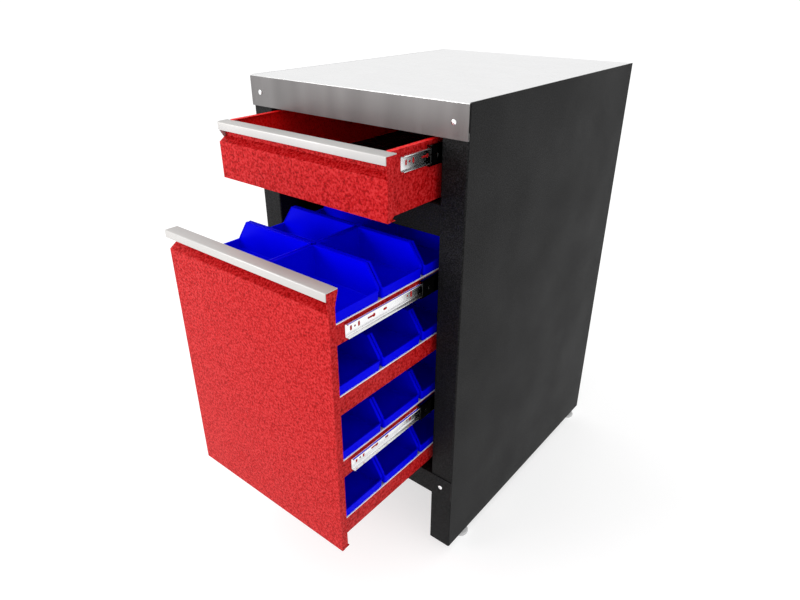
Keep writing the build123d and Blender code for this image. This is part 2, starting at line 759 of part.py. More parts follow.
def tray_frame(top):
    """Tray pressed from one sheet like a shallow lid, its skirts turned down."""
    t = TRAY_SHEET / 2
    half = TRAY_HALF - t
    y0 = TRAY_FRONT
    y1 = y0 + TRAY_LENGTH
    low = top - BIN_TRAY_BAND
    points = [(-half, low), (-half, top - t), (half, top - t), (half, low)]
    frame = along_y(points, [0, 0], TRAY_SHEET, y0, y1)
    frame += block(-half, half, y0, y0 + TRAY_SHEET, low, top - t)
    frame += block(-half, half, y1 - TRAY_SHEET, y1, low, top - t)
    return frame


def tray_liner(top):
    """Bright sheet laid on the tray, which the bins stand on."""
    y1 = TRAY_FRONT + TRAY_LENGTH
    return block(-TRAY_HALF, TRAY_HALF, TRAY_FRONT, y1, top, top + LINER_SHEET)


def pull_out_inner_front():
    """Flat sheet that closes the front from behind and carries the trays."""
    half = FRONT_HALF - FRONT_SHEET
    bottom = PULL_OUT_BOTTOM + FRONT_CORNER_CUT + FRONT_SHEET
    top = PULL_OUT_TOP - GRIP_HEIGHT - SLANT_HEIGHT - INNER_FRONT_TOP_GAP
    return block(-half, half, FRONT_RETURN - FRONT_SHEET, FRONT_RETURN, bottom, top)


def pull_out_rear_panel():
    """Sheet that ties the trays together at the back and stops the bins."""
    t = REAR_PANEL_SHEET / 2
    half = TRAY_HALF - t
    y0 = TRAY_FRONT + TRAY_LENGTH
    bottom = tray_tops()[-1] - BIN_TRAY_BAND
    top = tray_tops()[0] + LINER_SHEET + REAR_PANEL_RISE
    edge = y0 + REAR_PANEL_FLANGE
    points = [(-half, edge), (-half, y0 + t), (half, y0 + t), (half, edge)]
    return along_z(points, [0, 0], REAR_PANEL_SHEET, bottom, top)


def open_bin(depth, slope):
    """Picking bin with its back at x = 0, its open front towards +x, its rim outside."""
    body_half = BIN_RIM_WIDTH / 2 - BIN_RIM
    top = BIN_HEIGHT
    lip = BIN_LIP_HEIGHT
    foot = depth - BIN_LIP_LEAN
    side = [(BIN_RIM, 0), (foot, 0), (depth, lip), (depth - slope, top), (BIN_RIM, top)]
    hollow_back = BIN_RIM + BIN_WALL
    hollow_front = foot - BIN_WALL
    hollow = [
        (hollow_back, BIN_WALL),
        (hollow_front, BIN_WALL),
        (hollow_front + BIN_LIP_LEAN, lip),
        (depth + 1, lip),
        (depth + 1, top + 1),
        (hollow_back, top + 1),
    ]
    inner_half = body_half - BIN_WALL
    outer = slab_y(side, -body_half, body_half) & bin_plan(0, depth, body_half)
    inner = slab_y(hollow, -inner_half, inner_half)
    inner &= bin_plan(hollow_back, depth - BIN_WALL, inner_half)
    shell = outer - inner
    drop = BIN_RIM_DEPTH
    rim = [
        (0, top - drop),
        (depth - slope - drop / 2, top - drop),
        (depth - drop, lip),
        (depth, lip),
        (depth - slope, top),
        (0, top),
    ]
    for way in (-1, 1):
        shell += slab_y(rim, way * (body_half - BIN_WALL), way * (body_half + BIN_RIM))
    shell += block(0, BIN_RIM + BIN_WALL, -body_half, body_half, top - drop, top)
    return shell


def bin_plan(x0, x1, half):
    """Upright block whose two front corners are cut off in plan."""
    body = block(x0, x1, -half, half, -1, BIN_HEIGHT + 1)
    edges = body.edges().filter_by(Axis.Z).group_by(Axis.X)[-1]
    return chamfer(edges, BIN_CORNER)


def bin_places(top):
    """Heights and depths of the bins of one row, first to last."""
    z = top + LINER_SHEET + BIN_FLOOR_GAP
    first = TRAY_FRONT + BIN_TRAY_PLAY / 2 + BIN_PITCH / 2
    return [(first + BIN_PITCH * index, z) for index in range(BINS_PER_ROW)]


def right_bins(top):
    """Row whose fronts face right, with the fronts flush with the tray's edge."""
    shape = open_bin(RIGHT_BIN_DEPTH, RIGHT_BIN_SLOPE)
    x = TRAY_HALF - BIN_SIDE_GAP - RIGHT_BIN_DEPTH
    return [Pos(x, y, z) * shape for y, z in bin_places(top)]


def left_bins(top):
    """Deeper row behind it, whose fronts face left."""
    shape = open_bin(LEFT_BIN_DEPTH, LEFT_BIN_SLOPE)
    x = TRAY_HALF - BIN_SIDE_GAP - RIGHT_BIN_DEPTH - BIN_ROW_GAP
    return [Pos(x, y, z) * Rot(0, 0, 180) * shape for y, z in bin_places(top)]


# Assembly


def cabinet_parts():
    """Everything that stands still."""
    right_panel = right_side_panel()
    carriers = [right_slide_carrier(z) for z in slide_heights()]
    top, upper, lower = slide_heights()
    pull_out_rails = [fixed_rail(upper), fixed_rail(lower)]
    places = foot_places().values()
    return {
        "left_side_panel": other_side(right_panel),
        "right_side_panel": right_panel,
        "worktop_sheet": worktop_sheet(),
        "worktop_board": worktop_board(),
        "front_screws": front_screws(),
        "top_front_rail": top_front_rail(),
        "top_rear_rail": top_rear_rail(),
        "bottom_front_rail": bottom_front_rail(),
        "bottom_rear_rail": bottom_rear_rail(),
        "base_panel": base_panel(),
        "back_panel": back_panel(),
        "left_slide_carriers": group([other_side(piece) for piece in carriers]),
        "right_slide_carriers": group(carriers),
        "foot_brackets": group([foot_bracket(x, y) for x, y in places]),
        "foot_nuts": group([foot_nut(x, y) for x, y in places]),
        "top_drawer_left_fixed_rail": other_side(fixed_rail(top)),
        "top_drawer_right_fixed_rail": fixed_rail(top),
        "pull_out_left_fixed_rails": group([other_side(piece) for piece in pull_out_rails]),
        "pull_out_right_fixed_rails": group(pull_out_rails),
    }


def both_sides(pieces):
    """The pieces with their left-hand twins."""
    return group(pieces + [other_side(piece) for piece in pieces])


def top_drawer_parts():
    """The drawer, then the slide pieces that lag behind it, each with its share of the run."""
    z = slide_heights()[0]
    return {
        "top_drawer_front": (drawer_front(TOP_FRONT_BOTTOM, TOP_FRONT_TOP), 1.0),
        "top_drawer_handle": (closed_end_handle(TOP_FRONT_TOP), 1.0),
        "top_drawer_tray": (top_drawer_tray(), 1.0),
        "top_drawer_mat": (top_drawer_mat(), 1.0),
        "top_drawer_left_sliding_rail": (other_side(sliding_rail(z)), 1.0),
        "top_drawer_right_sliding_rail": (sliding_rail(z), 1.0),
        "top_drawer_left_middle_rail": (other_side(middle_rail(z)), 0.5),
        "top_drawer_right_middle_rail": (middle_rail(z), 0.5),
        "top_drawer_outer_ball_cages": (both_sides([outer_cage(z)]), 0.25),
        "top_drawer_inner_ball_cages": (both_sides([inner_cage(z)]), 0.75),
    }


def pull_out_parts():
    """The pull-out, then its slide pieces, each with its share of the run."""
    levels = slide_heights()[1:]
    sliding = [sliding_rail(z) for z in levels]
    middle = [middle_rail(z) for z in levels]
    parts = {
        "pull_out_front": (drawer_front(PULL_OUT_BOTTOM, PULL_OUT_TOP), 1.0),
        "pull_out_handle": (drawer_handle(PULL_OUT_TOP), 1.0),
        "pull_out_inner_front": (pull_out_inner_front(), 1.0),
        "pull_out_rear_panel": (pull_out_rear_panel(), 1.0),
        "pull_out_left_sliding_rails": (group([other_side(piece) for piece in sliding]), 1.0),
        "pull_out_right_sliding_rails": (group(sliding), 1.0),
        "pull_out_left_middle_rails": (group([other_side(piece) for piece in middle]), 0.5),
        "pull_out_right_middle_rails": (group(middle), 0.5),
        "pull_out_outer_ball_cages": (both_sides([outer_cage(z) for z in levels]), 0.25),
        "pull_out_inner_ball_cages": (both_sides([inner_cage(z) for z in levels]), 0.75),
    }
    for number, top in enumerate(tray_tops(), start=1):
        parts[f"bin_tray_{number}"] = (tray_frame(top), 1.0)
        parts[f"bin_tray_{number}_liner"] = (tray_liner(top), 1.0)
        parts[f"left_bins_tray_{number}"] = (group(left_bins(top)), 1.0)
        row = right_bins(top)
        if number == 1:
            parts["second_right_bin"] = (row.pop(1), 1.0)
        parts[f"right_bins_tray_{number}"] = (group(row), 1.0)
    return parts


def write(name, shape, forward):
    """Save one piece, moved forwards from shut and into the frame of the whole."""
    placed = Pos(0, -forward - ORIGIN_Y, 0) * shape
    export_step(placed, f"parts/{name}.step")


for name, shape in cabinet_parts().items():
    write(name, shape, 0)
for name, (x, y) in foot_places().items():
    write(name, foot(x, y), 0)
for name, (shape, share) in top_drawer_parts().items():
    write(name, shape, share * TOP_DRAWER_OPEN)
for name, (shape, share) in pull_out_parts().items():
    write(name, shape, share * PULL_OUT_OPEN)
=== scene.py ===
# A workshop cabinet of folded steel: a shallow drawer over a tall pull-out of blue parts bins.
import math
import bmesh
import bpy
from mathutils import Matrix, Vector


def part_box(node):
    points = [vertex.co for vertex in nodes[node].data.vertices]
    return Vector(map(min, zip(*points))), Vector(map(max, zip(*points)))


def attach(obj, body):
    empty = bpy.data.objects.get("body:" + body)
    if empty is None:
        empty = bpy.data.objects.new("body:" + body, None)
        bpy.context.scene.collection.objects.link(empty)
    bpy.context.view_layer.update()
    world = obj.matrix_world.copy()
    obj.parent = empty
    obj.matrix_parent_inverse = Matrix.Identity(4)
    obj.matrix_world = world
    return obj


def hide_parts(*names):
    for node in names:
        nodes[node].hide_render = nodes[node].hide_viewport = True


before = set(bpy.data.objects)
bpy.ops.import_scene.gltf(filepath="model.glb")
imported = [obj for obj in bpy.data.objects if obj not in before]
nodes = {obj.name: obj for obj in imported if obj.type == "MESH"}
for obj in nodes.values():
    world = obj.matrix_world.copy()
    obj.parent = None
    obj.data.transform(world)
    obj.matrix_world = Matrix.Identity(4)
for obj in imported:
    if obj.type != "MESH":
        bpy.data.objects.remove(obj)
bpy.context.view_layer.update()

# Studio. The cabinet stands on a pale floor in a white room and is seen from its front right and from
# above, as in the photograph. One large soft lamp at the front left lights the drawer fronts and
# reaches into the bins.
CAMERA_PLACE = (0.7543, -0.9745, 1.1013)
CAMERA_TURN = math.radians(39.07)
CAMERA_DROP = math.radians(27.36)
CAMERA_LENS = 27.64
CAMERA_SENSOR = 36.0
FLOOR_REACH = 60.0
FLOOR_GLOW = 0.60
FLOOR_PALE = (0.52, 0.52, 0.52)
FLOOR_SHADE = (0.50, 0.50, 0.50)
FLOOR_MOTTLE = 3.0
ROOM_LIGHT = 0.97
LAMP_PLACE = (-1.5, -2.5, 1.5)
LAMP_TARGET = (0.0, -0.3, 0.6)
LAMP_SIZE = 1.2
LAMP_POWER = 48.0
SAME_POINT = 1e-6


def looking_at(place, target):
    """Turn that points an object's -Z at the target, with its own X level."""
    return (Vector(target) - Vector(place)).to_track_quat("-Z", "Y").to_euler()


scene = bpy.context.scene
scene.view_settings.view_transform = "Standard"
lens = bpy.data.cameras.new("camera")
lens.lens = CAMERA_LENS
lens.sensor_width = CAMERA_SENSOR
camera = bpy.data.objects.new("camera", lens)
camera.location = CAMERA_PLACE
camera.rotation_euler = (math.pi / 2 - CAMERA_DROP, 0, CAMERA_TURN)
scene.collection.objects.link(camera)
scene.camera = camera

room = bpy.data.worlds.new("room")
room.use_nodes = True
room.node_tree.nodes["Background"].inputs["Color"].default_value = (1, 1, 1, 1)
room.node_tree.nodes["Background"].inputs["Strength"].default_value = ROOM_LIGHT
scene.world = room

lamp = bpy.data.lights.new("soft_lamp", "AREA")
lamp.shape = "SQUARE"
lamp.size = LAMP_SIZE
lamp.energy = LAMP_POWER
lamp_object = bpy.data.objects.new("soft_lamp", lamp)
lamp_object.location = LAMP_PLACE
lamp_object.rotation_euler = looking_at(LAMP_PLACE, LAMP_TARGET)
lamp_object.visible_camera = False
scene.collection.objects.link(lamp_object)


def finish(name):
    """New material: its tree, its shader and a reader of object coordinates."""
    material = bpy.data.materials.new(name)
    material.use_nodes = True
    tree = material.node_tree
    shader = tree.nodes["Principled BSDF"]
    place = tree.nodes.new("ShaderNodeTexCoord").outputs["Object"]
    return material, tree, shader, place


def noise(tree, place, scale, detail=2.0, roughness=0.5, stretch=(1, 1, 1)):
    """Grain of about 1 / scale metres, drawn out along an axis by a stretch under 1."""
    mapping = tree.nodes.new("ShaderNodeMapping")
    mapping.inputs["Scale"].default_value = stretch
    grain = tree.nodes.new("ShaderNodeTexNoise")
    grain.inputs["Scale"].default_value = scale
    grain.inputs["Detail"].default_value = detail
    grain.inputs["Roughness"].default_value = roughness
    tree.links.new(place, mapping.inputs["Vector"])
    tree.links.new(mapping.outputs["Vector"], grain.inputs["Vector"])
    return grain.outputs["Fac"]


def ramp(tree, value, *stops):
    """Colours along a value; each stop is a place from 0 to 1 and a colour."""
    node = tree.nodes.new("ShaderNodeValToRGB")
    tree.links.new(value, node.inputs["Fac"])
    marks = node.color_ramp.elements
    while len(marks) < len(stops):
        marks.new(0.5)
    for mark, (position, colour) in zip(marks, stops):
        mark.position = position
        mark.color = (*colour, 1)
    return node.outputs["Color"]


def spread(tree, value, low, high, start=0.3, end=0.7):
    """A value carried from one range to another."""
    node = tree.nodes.new("ShaderNodeMapRange")
    tree.links.new(value, node.inputs["Value"])
    for socket, number in (("From Min", start), ("From Max", end), ("To Min", low), ("To Max", high)):
        node.inputs[socket].default_value = number
    return node.outputs["Result"]


def relief(tree, shader, height, depth, strength=1.0):
    """Bumps of the given depth in metres on the shader's normal."""
    bump = tree.nodes.new("ShaderNodeBump")
    bump.inputs["Strength"].default_value = strength
    bump.inputs["Distance"].default_value = depth
    tree.links.new(height, bump.inputs["Height"])
    tree.links.new(bump.outputs["Normal"], shader.inputs["Normal"])


def floor_finish():
    """Pale matt floor with a hardly seen mottle. It glows, so it stays pale under the cabinet."""
    material, tree, shader, place = finish("pale_floor")
    shade = noise(tree, place, FLOOR_MOTTLE)
    colour = ramp(tree, shade, (0.3, FLOOR_SHADE), (0.7, FLOOR_PALE))
    tree.links.new(colour, shader.inputs["Base Color"])
    shader.inputs["Roughness"].default_value = 0.9
    shader.inputs["Specular IOR Level"].default_value = 0.0
    shader.inputs["Emission Color"].default_value = (1, 1, 1, 1)
    shader.inputs["Emission Strength"].default_value = FLOOR_GLOW
    return material


def plain_mesh(name, verts, faces, material):
    """Object of these points and faces, in the frame of the cabinet, with its faces outwards."""
    mesh = bpy.data.meshes.new(name)
    mesh.from_pydata([tuple(vert) for vert in verts], [], faces)
    mesh.materials.append(material)
    shell = bmesh.new()
    shell.from_mesh(mesh)
    bmesh.ops.remove_doubles(shell, verts=shell.verts, dist=SAME_POINT)
    bmesh.ops.recalc_face_normals(shell, faces=shell.faces)
    shell.to_mesh(mesh)
    shell.free()
    piece = bpy.data.objects.new(name, mesh)
    scene.collection.objects.link(piece)
    return piece


reach = FLOOR_REACH
corners = [(-reach, -reach, 0), (reach, -reach, 0), (reach, reach, 0), (-reach, reach, 0)]
floor = plain_mesh("floor", corners, [(0, 1, 2, 3)], floor_finish())


# Side panels, cross rails, carriers, base and back. All are folded steel sheet under a charcoal
# powder coat, which has a fine hard grain. The sides fold round into the stiles, and the rest is
# welded or screwed between them.
CHARCOAL = (0.002, 0.002, 0.002)
CHARCOAL_LIGHT = (0.018, 0.018, 0.019)
CHARCOAL_GRAIN = 0.0021
CHARCOAL_CLOUDS = 9.0
CHARCOAL_ROUGH = (0.50, 0.58)
CHARCOAL_RELIEF = 0.0005
BODY_NODES = [
    "left_side_panel",
    "right_side_panel",
    "top_front_rail",
    "top_rear_rail",
    "bottom_front_rail",
    "bottom_rear_rail",
    "base_panel",
    "back_panel",
    "left_slide_carriers",
    "right_slide_carriers",
]


def powder_coat():
    """Baked charcoal powder paint: light tips on a darker ground, over a bumpy skin."""
    material, tree, shader, place = finish("charcoal_powder_coat")
    bumps = noise(tree, place, 1 / CHARCOAL_GRAIN, detail=2.5, roughness=0.6)
    clouds = noise(tree, place, CHARCOAL_CLOUDS)
    colour = ramp(tree, bumps, (0.42, CHARCOAL), (0.66, CHARCOAL_LIGHT))
    tree.links.new(colour, shader.inputs["Base Color"])
    tree.links.new(spread(tree, clouds, *CHARCOAL_ROUGH), shader.inputs["Roughness"])
    shader.inputs["Specular IOR Level"].default_value = 0.1
    relief(tree, shader, bumps, CHARCOAL_RELIEF, strength=0.8)
    return material


def coat(names, material):
    """Give CAD nodes their finish."""
    for name in names:
        slots = nodes[name].data.materials
        slots.clear()
        slots.append(material)


charcoal = powder_coat()
coat(BODY_NODES, charcoal)


# Worktop. A steel sheet is laid over a board and folded down at the front into a lip, which is
# hemmed. It is brushed bright on top; the lip, the same steel, is given a much darker grey as painted
# shade, with soft upright streaks.
TOP_STEEL = (0.865, 0.865, 0.868)
TOP_STEEL_DARK = (0.85, 0.85, 0.853)
# The lip's much darker grey is painted shade on the same steel as the top.
LIP_STEEL_PAINTED_SHADE = (0.172, 0.165, 0.164)
LIP_STEEL_PAINTED_SHADE_DARK = (0.142, 0.136, 0.135)
LIP_EDGE = 0.0015
SAME_PLANE = math.radians(0.5)
BRUSH_MARKS = 900.0
BRUSH_DEPTH = 0.00005
STEEL_TONE = 22.0
BOARD_LIGHT = (0.52, 0.36, 0.20)
BOARD_DARK = (0.36, 0.23, 0.12)
BOARD_GRAIN = 60.0
BOARD_GRAIN_DEPTH = 0.0002
BOARD_ROUGH = (0.55, 0.70)


def brushed_steel(name, light, dark, tone_stretch, mark_stretch, rough):
    """Steel sheet with brush marks drawn out one way and slow changes of tone."""
    material, tree, shader, place = finish(name)
    marks = noise(tree, place, BRUSH_MARKS, roughness=0.6, stretch=mark_stretch)
    tone = noise(tree, place, STEEL_TONE, detail=1.0, stretch=tone_stretch)
    colour = ramp(tree, tone, (0.35, dark), (0.65, light))
    tree.links.new(colour, shader.inputs["Base Color"])
    tree.links.new(spread(tree, marks, rough - 0.06, rough + 0.08), shader.inputs["Roughness"])
    shader.inputs["Metallic"].default_value = 1.0
    relief(tree, shader, marks, BRUSH_DEPTH, strength=0.5)
    return material


def board_finish():
    """Edge and underside of the wooden board."""
    material, tree, shader, place = finish("board")
    grain = noise(tree, place, BOARD_GRAIN, detail=4.0, roughness=0.6, stretch=(0.08, 1, 1))
    tree.links.new(ramp(tree, grain, (0.35, BOARD_DARK), (0.65, BOARD_LIGHT)), shader.inputs["Base Color"])
    tree.links.new(spread(tree, grain, *BOARD_ROUGH), shader.inputs["Roughness"])
    relief(tree, shader, grain, BOARD_GRAIN_DEPTH)
    return material


def merged_copy(node, name):
    """Copy of a CAD node as a clean mesh of flat faces, which can take bevels and finishes."""
    mesh = nodes[node].data.copy()
    mesh.name = name
    shell = bmesh.new()
    shell.from_mesh(mesh)
    bmesh.ops.remove_doubles(shell, verts=shell.verts, dist=SAME_POINT)
    bmesh.ops.dissolve_limit(
        shell, angle_limit=SAME_PLANE, verts=shell.verts, edges=shell.edges, delimit={"NORMAL"}
    )
    shell.to_mesh(mesh)
    shell.free()
    piece = bpy.data.objects.new(name, mesh)
    scene.collection.objects.link(piece)
    return piece


def worn(piece, body, slot, *replaced):
    """Hang a finished piece on the body it rides on, and hide the CAD nodes it stands for."""
    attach(piece, body)
    if replaced:
        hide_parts(*replaced)


worktop = merged_copy("worktop_sheet", "worktop")
worktop_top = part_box("worktop_sheet")[1].z
worktop.data.materials.clear()
worktop.data.materials.append(brushed_steel(
    "bright_worktop_steel", TOP_STEEL, TOP_STEEL_DARK,
    tone_stretch=(0.6, 1, 1), mark_stretch=(0.03, 1, 1), rough=0.3,
))
# The lip's faces get the same steel in a much darker grey: painted shade.
worktop.data.materials.append(brushed_steel(
    "lip_steel_painted_shade", LIP_STEEL_PAINTED_SHADE, LIP_STEEL_PAINTED_SHADE_DARK,
    tone_stretch=(1, 1, 0.1), mark_stretch=(1, 1, 0.03), rough=0.38,
))
for face in worktop.data.polygons:
    face.material_index = 1 if face.center.z < worktop_top - LIP_EDGE else 0
worn(worktop, "cabinet", "top_steel", "worktop_sheet")
coat(["worktop_board"], board_finish())


# Front screws. Four pan-head steel screws with a cross recess, bright zinc plated, hold the
# worktop lip and the bottom rail to the stiles.
SCREW_HEAD_RADIUS = 0.0046
SCREW_HEAD_HEIGHT = 0.0022
SCREW_SHANK_RADIUS = 0.0023
SCREW_SHANK_LENGTH = 0.009
SCREW_SEAT_SHARE = 0.97
SCREW_RIM_SHARE = 0.35
SCREW_DOME_ANGLES = (0, 0.35, 0.7, 1.05, 1.35)
SCREW_RECESS_REACH = 0.0024
SCREW_RECESS_WIDTH = 0.0011
SCREW_RECESS_DEPTH = 0.0013
SCREW_RECESS_START = 1.2
SCREW_SIDES = 24
ZINC = (0.94, 0.94, 0.945)
ZINC_DARK = (0.88, 0.88, 0.89)
ZINC_CLOUDS = 55.0
ZINC_SKIN = 400.0
ZINC_SKIN_DEPTH = 0.00001


def plated(name, light, dark, rough):
    """Zinc plate, a little clouded."""
    material, tree, shader, place = finish(name)
    clouds = noise(tree, place, ZINC_CLOUDS, detail=3.0)
    tree.links.new(ramp(tree, clouds, (0.3, dark), (0.6, light)), shader.inputs["Base Color"])
    tree.links.new(spread(tree, clouds, rough, rough + 0.04), shader.inputs["Roughness"])
    shader.inputs["Metallic"].default_value = 1.0
    relief(tree, shader, noise(tree, place, ZINC_SKIN), ZINC_SKIN_DEPTH, strength=0.2)
    return material


def lofted(name, rings, material):
    """Closed solid through rings of points, each of the same count, with a face at both ends."""
    count = len(rings[0])
    verts = [vert for ring in rings for vert in ring]
    faces = [tuple(range(count)), tuple(range(len(verts) - count, len(verts)))]
    for low in range(0, len(verts) - count, count):
        for index in range(count):
            after = (index + 1) % count
            faces.append((low + index, low + after, low + after + count, low + index + count))
    return plain_mesh(name, verts, faces, material)


def turned(name, profile, sides, material, axis=(0, 0, 1)):
    """Solid of revolution about an axis; the profile gives radius and height, bottom to top."""
    upright = Vector(axis).to_track_quat("Z", "Y").to_matrix()
    angles = [2 * math.pi * index / sides for index in range(sides)]
    rings = []
    for r, level in profile:
        rings.append([upright @ Vector((r * math.cos(a), r * math.sin(a), level)) for a in angles])
    return lofted(name, rings, material)


def prism(name, outline, along, start, end, material):
    """Solid whose outline is carried along one axis; the outline gives the other two in order."""
    first, second = [axis for axis in range(3) if axis != along]
    rings = []
    for level in (start, end):
        ring = []
        for point in outline:
            vert = [level] * 3
            vert[first], vert[second] = point
            ring.append(vert)
        rings.append(ring)
    return lofted(name, rings, material)


def cut(piece, tool):
    """Take one solid away from another."""
    boolean = piece.modifiers.new("cut", "BOOLEAN")
    boolean.operation = "DIFFERENCE"
    boolean.solver = "EXACT"
    boolean.object = tool
    settle(piece)
    bpy.data.objects.remove(tool)


def settle(piece):
    """Turn a piece with modifiers into a plain mesh."""
    bpy.context.view_layer.update()
    depsgraph = bpy.context.evaluated_depsgraph_get()
    mesh = bpy.data.meshes.new_from_object(piece.evaluated_get(depsgraph))
    piece.modifiers.clear()
    piece.data = mesh


def smooth(piece, angle=32):
    """Shade smoothly over gentle turns and keep sharp corners crisp."""
    piece.data.shade_smooth()
    piece.data.set_sharp_from_angle(angle=math.radians(angle))


def joined(name, pieces):
    """One object from several plain meshes in the same frame."""
    mesh = bpy.data.meshes.new(name)
    whole = bmesh.new()
    for piece in pieces:
        whole.from_mesh(piece.data)
    whole.to_mesh(mesh)
    whole.free()
    for material in pieces[0].data.materials:
        mesh.materials.append(material)
    for piece in pieces:
        bpy.data.objects.remove(piece)
    one = bpy.data.objects.new(name, mesh)
    scene.collection.objects.link(one)
    return one


def socket_of(tree, name, kind, value=None):
    """Named input of a geometry tree."""
    socket = tree.interface.new_socket(name, in_out="INPUT", socket_type=kind)
    if value is not None:
        socket.default_value = value
    return socket


def copies_tree(on_points):
    """Geometry tree that sets copies of a piece on its points, or in a line of its own."""
    tree = bpy.data.node_groups.new("copies", "GeometryNodeTree")
    socket_of(tree, "Geometry", "NodeSocketGeometry")
    socket_of(tree, "Piece", "NodeSocketObject")
    socket_of(tree, "Copies", "NodeSocketInt", 1)
    socket_of(tree, "Start", "NodeSocketVector")
    socket_of(tree, "Step", "NodeSocketVector")
    socket_of(tree, "Axis", "NodeSocketVector", (0, 1, 0))
    socket_of(tree, "Turn", "NodeSocketFloat", 0.0)
    socket_of(tree, "Seed", "NodeSocketInt", 1)
    socket_of(tree, "Finish", "NodeSocketMaterial")
    tree.interface.new_socket("Geometry", in_out="OUTPUT", socket_type="NodeSocketGeometry")
    given = tree.nodes.new("NodeGroupInput").outputs
    made = tree.nodes.new("NodeGroupOutput").inputs
    link = tree.links.new
    piece = tree.nodes.new("GeometryNodeObjectInfo")
    spot = tree.nodes.new("GeometryNodeInstanceOnPoints")
    turn = tree.nodes.new("FunctionNodeRandomValue")
    turn.data_type = "FLOAT"
    spin = tree.nodes.new("FunctionNodeAxisAngleToRotation")
    real = tree.nodes.new("GeometryNodeRealizeInstances")
    dress = tree.nodes.new("GeometryNodeSetMaterial")
    if on_points:
        link(given["Geometry"], spot.inputs["Points"])
    else:
        line = tree.nodes.new("GeometryNodeMeshLine")
        line.mode = "OFFSET"
        link(given["Copies"], line.inputs["Count"])
        link(given["Start"], line.inputs["Start Location"])
        link(given["Step"], line.inputs["Offset"])
        link(line.outputs["Mesh"], spot.inputs["Points"])
    link(given["Piece"], piece.inputs["Object"])
    link(piece.outputs["Geometry"], spot.inputs["Instance"])
    # The number sockets of a random value are inputs 2, its least, and 3, its most, and output 1.
    link(given["Turn"], turn.inputs[3])
    link(given["Seed"], turn.inputs["Seed"])
    link(given["Axis"], spin.inputs["Axis"])
    link(turn.outputs[1], spin.inputs["Angle"])
    link(spin.outputs["Rotation"], spot.inputs["Rotation"])
    link(spot.outputs["Instances"], real.inputs["Geometry"])
    link(real.outputs["Geometry"], dress.inputs["Geometry"])
    link(given["Finish"], dress.inputs["Material"])
    link(dress.outputs["Geometry"], made["Geometry"])
    return tree


point_copies = copies_tree(True)
line_copies = copies_tree(False)


def repeated(name, tree, points=(), **sizes):
    """Plain mesh that a copies tree makes on the given points, with its inputs set by name."""
    mesh = bpy.data.meshes.new(name)
    mesh.from_pydata([tuple(point) for point in points], [], [])
    holder = bpy.data.objects.new(name, mesh)
    scene.collection.objects.link(holder)
    modifier = holder.modifiers.new("copies", "NODES")
    modifier.node_group = tree
    named = {item.name: item.identifier for item in tree.interface.items_tree if item.in_out == "INPUT"}
    for size, value in sizes.items():
        modifier[named[size]] = value
    settle(holder)
    return holder


def pan_head_screw(material):
    """One screw, its axis along Y and its seat at the origin, head towards -Y."""
    r, h, rim = SCREW_HEAD_RADIUS, SCREW_HEAD_HEIGHT, SCREW_RIM_SHARE
    dome = [(r * math.cos(a), h * (rim + (1 - rim) * math.sin(a))) for a in SCREW_DOME_ANGLES]
    shank = [(SCREW_SHANK_RADIUS, -SCREW_SHANK_LENGTH), (SCREW_SHANK_RADIUS, 0)]
    profile = [*shank, (r * SCREW_SEAT_SHARE, 0), *dome]
    screw = turned("screw", profile, SCREW_SIDES, material, axis=(0, -1, 0))
    half, reach = SCREW_RECESS_WIDTH / 2, SCREW_RECESS_REACH
    top, bottom = -h * SCREW_RECESS_START, SCREW_RECESS_DEPTH - h
    slit = [(top, -half), (top, half), (bottom, half), (bottom, -half)]
    for along, outline in ((0, slit), (2, [(across, y) for y, across in slit])):
        cut(screw, prism("recess", outline, along, -reach, reach, material))
    return screw


zinc = plated("bright_zinc", ZINC, ZINC_DARK, rough=0.2)
screw = pan_head_screw(zinc)
low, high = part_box("front_screws")
lip_seat = low.y + SCREW_HEAD_HEIGHT
rail_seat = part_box("bottom_front_rail")[0].y
rim = SCREW_HEAD_RADIUS
places = [(x, lip_seat, high.z - rim) for x in (low.x + rim, high.x - rim)]
places += [(x, rail_seat, low.z + rim) for x in (low.x + rim, high.x - rim)]
front_screws = repeated(
    "front_screw_heads", point_copies, places,
    Piece=screw, Axis=(0, 1, 0), Turn=math.pi / 2, Seed=4, Finish=zinc,
)
bpy.data.objects.remove(screw)
smooth(front_screws)
worn(front_screws, "cabinet", "zinc", "front_screws")
coat(["foot_nuts", "foot_brackets"], zinc)


# Middle rail. A charcoal channel, folded from sheet, is welded between the stiles and closes the gap
# between the shallow drawer and the pull-out. The drawer clears it above, the bins pass below.
MIDDLE_RAIL_SHEET = 0.0015
MIDDLE_RAIL_FLANGE = 0.022
MIDDLE_RAIL_BEND = 0.0012
RAIL_TO_HANDLE = 0.004
RAIL_TO_DRAWER = 0.003


def filleted(points, radii, steps=5):
    """Line whose inner corners are rounded, each to its own radius."""
    line = [Vector(points[0])]
    for index, radius in enumerate(radii, start=1):
        corner = Vector(points[index])
        before = (Vector(points[index - 1]) - corner).normalized()
        after = (Vector(points[index + 1]) - corner).normalized()
        half = before.angle(after) / 2
        middle = corner + (before + after).normalized() * (radius / math.sin(half))
        start = corner + before * (radius / math.tan(half)) - middle
        end = corner + after * (radius / math.tan(half)) - middle
        for step in range(steps + 1):
            line.append(middle + start.slerp(end, step / steps).normalized() * radius)
    line.append(Vector(points[-1]))
    return line


def sheet_section(points, radii, sheet, steps=5):
    """Closed outline of a bent sheet, from its middle line and bend radii."""
    line = filleted(points, radii, steps)
    left, right = [], []
    for index, point in enumerate(line):
        before = line[max(index - 1, 0)]
        after = line[min(index + 1, len(line) - 1)]
        along = (after - before).normalized()
        across = Vector((-along.y, along.x)) * sheet / 2
        left.append(point + across)
        right.append(point - across)
    return [tuple(point) for point in left + right[::-1]]


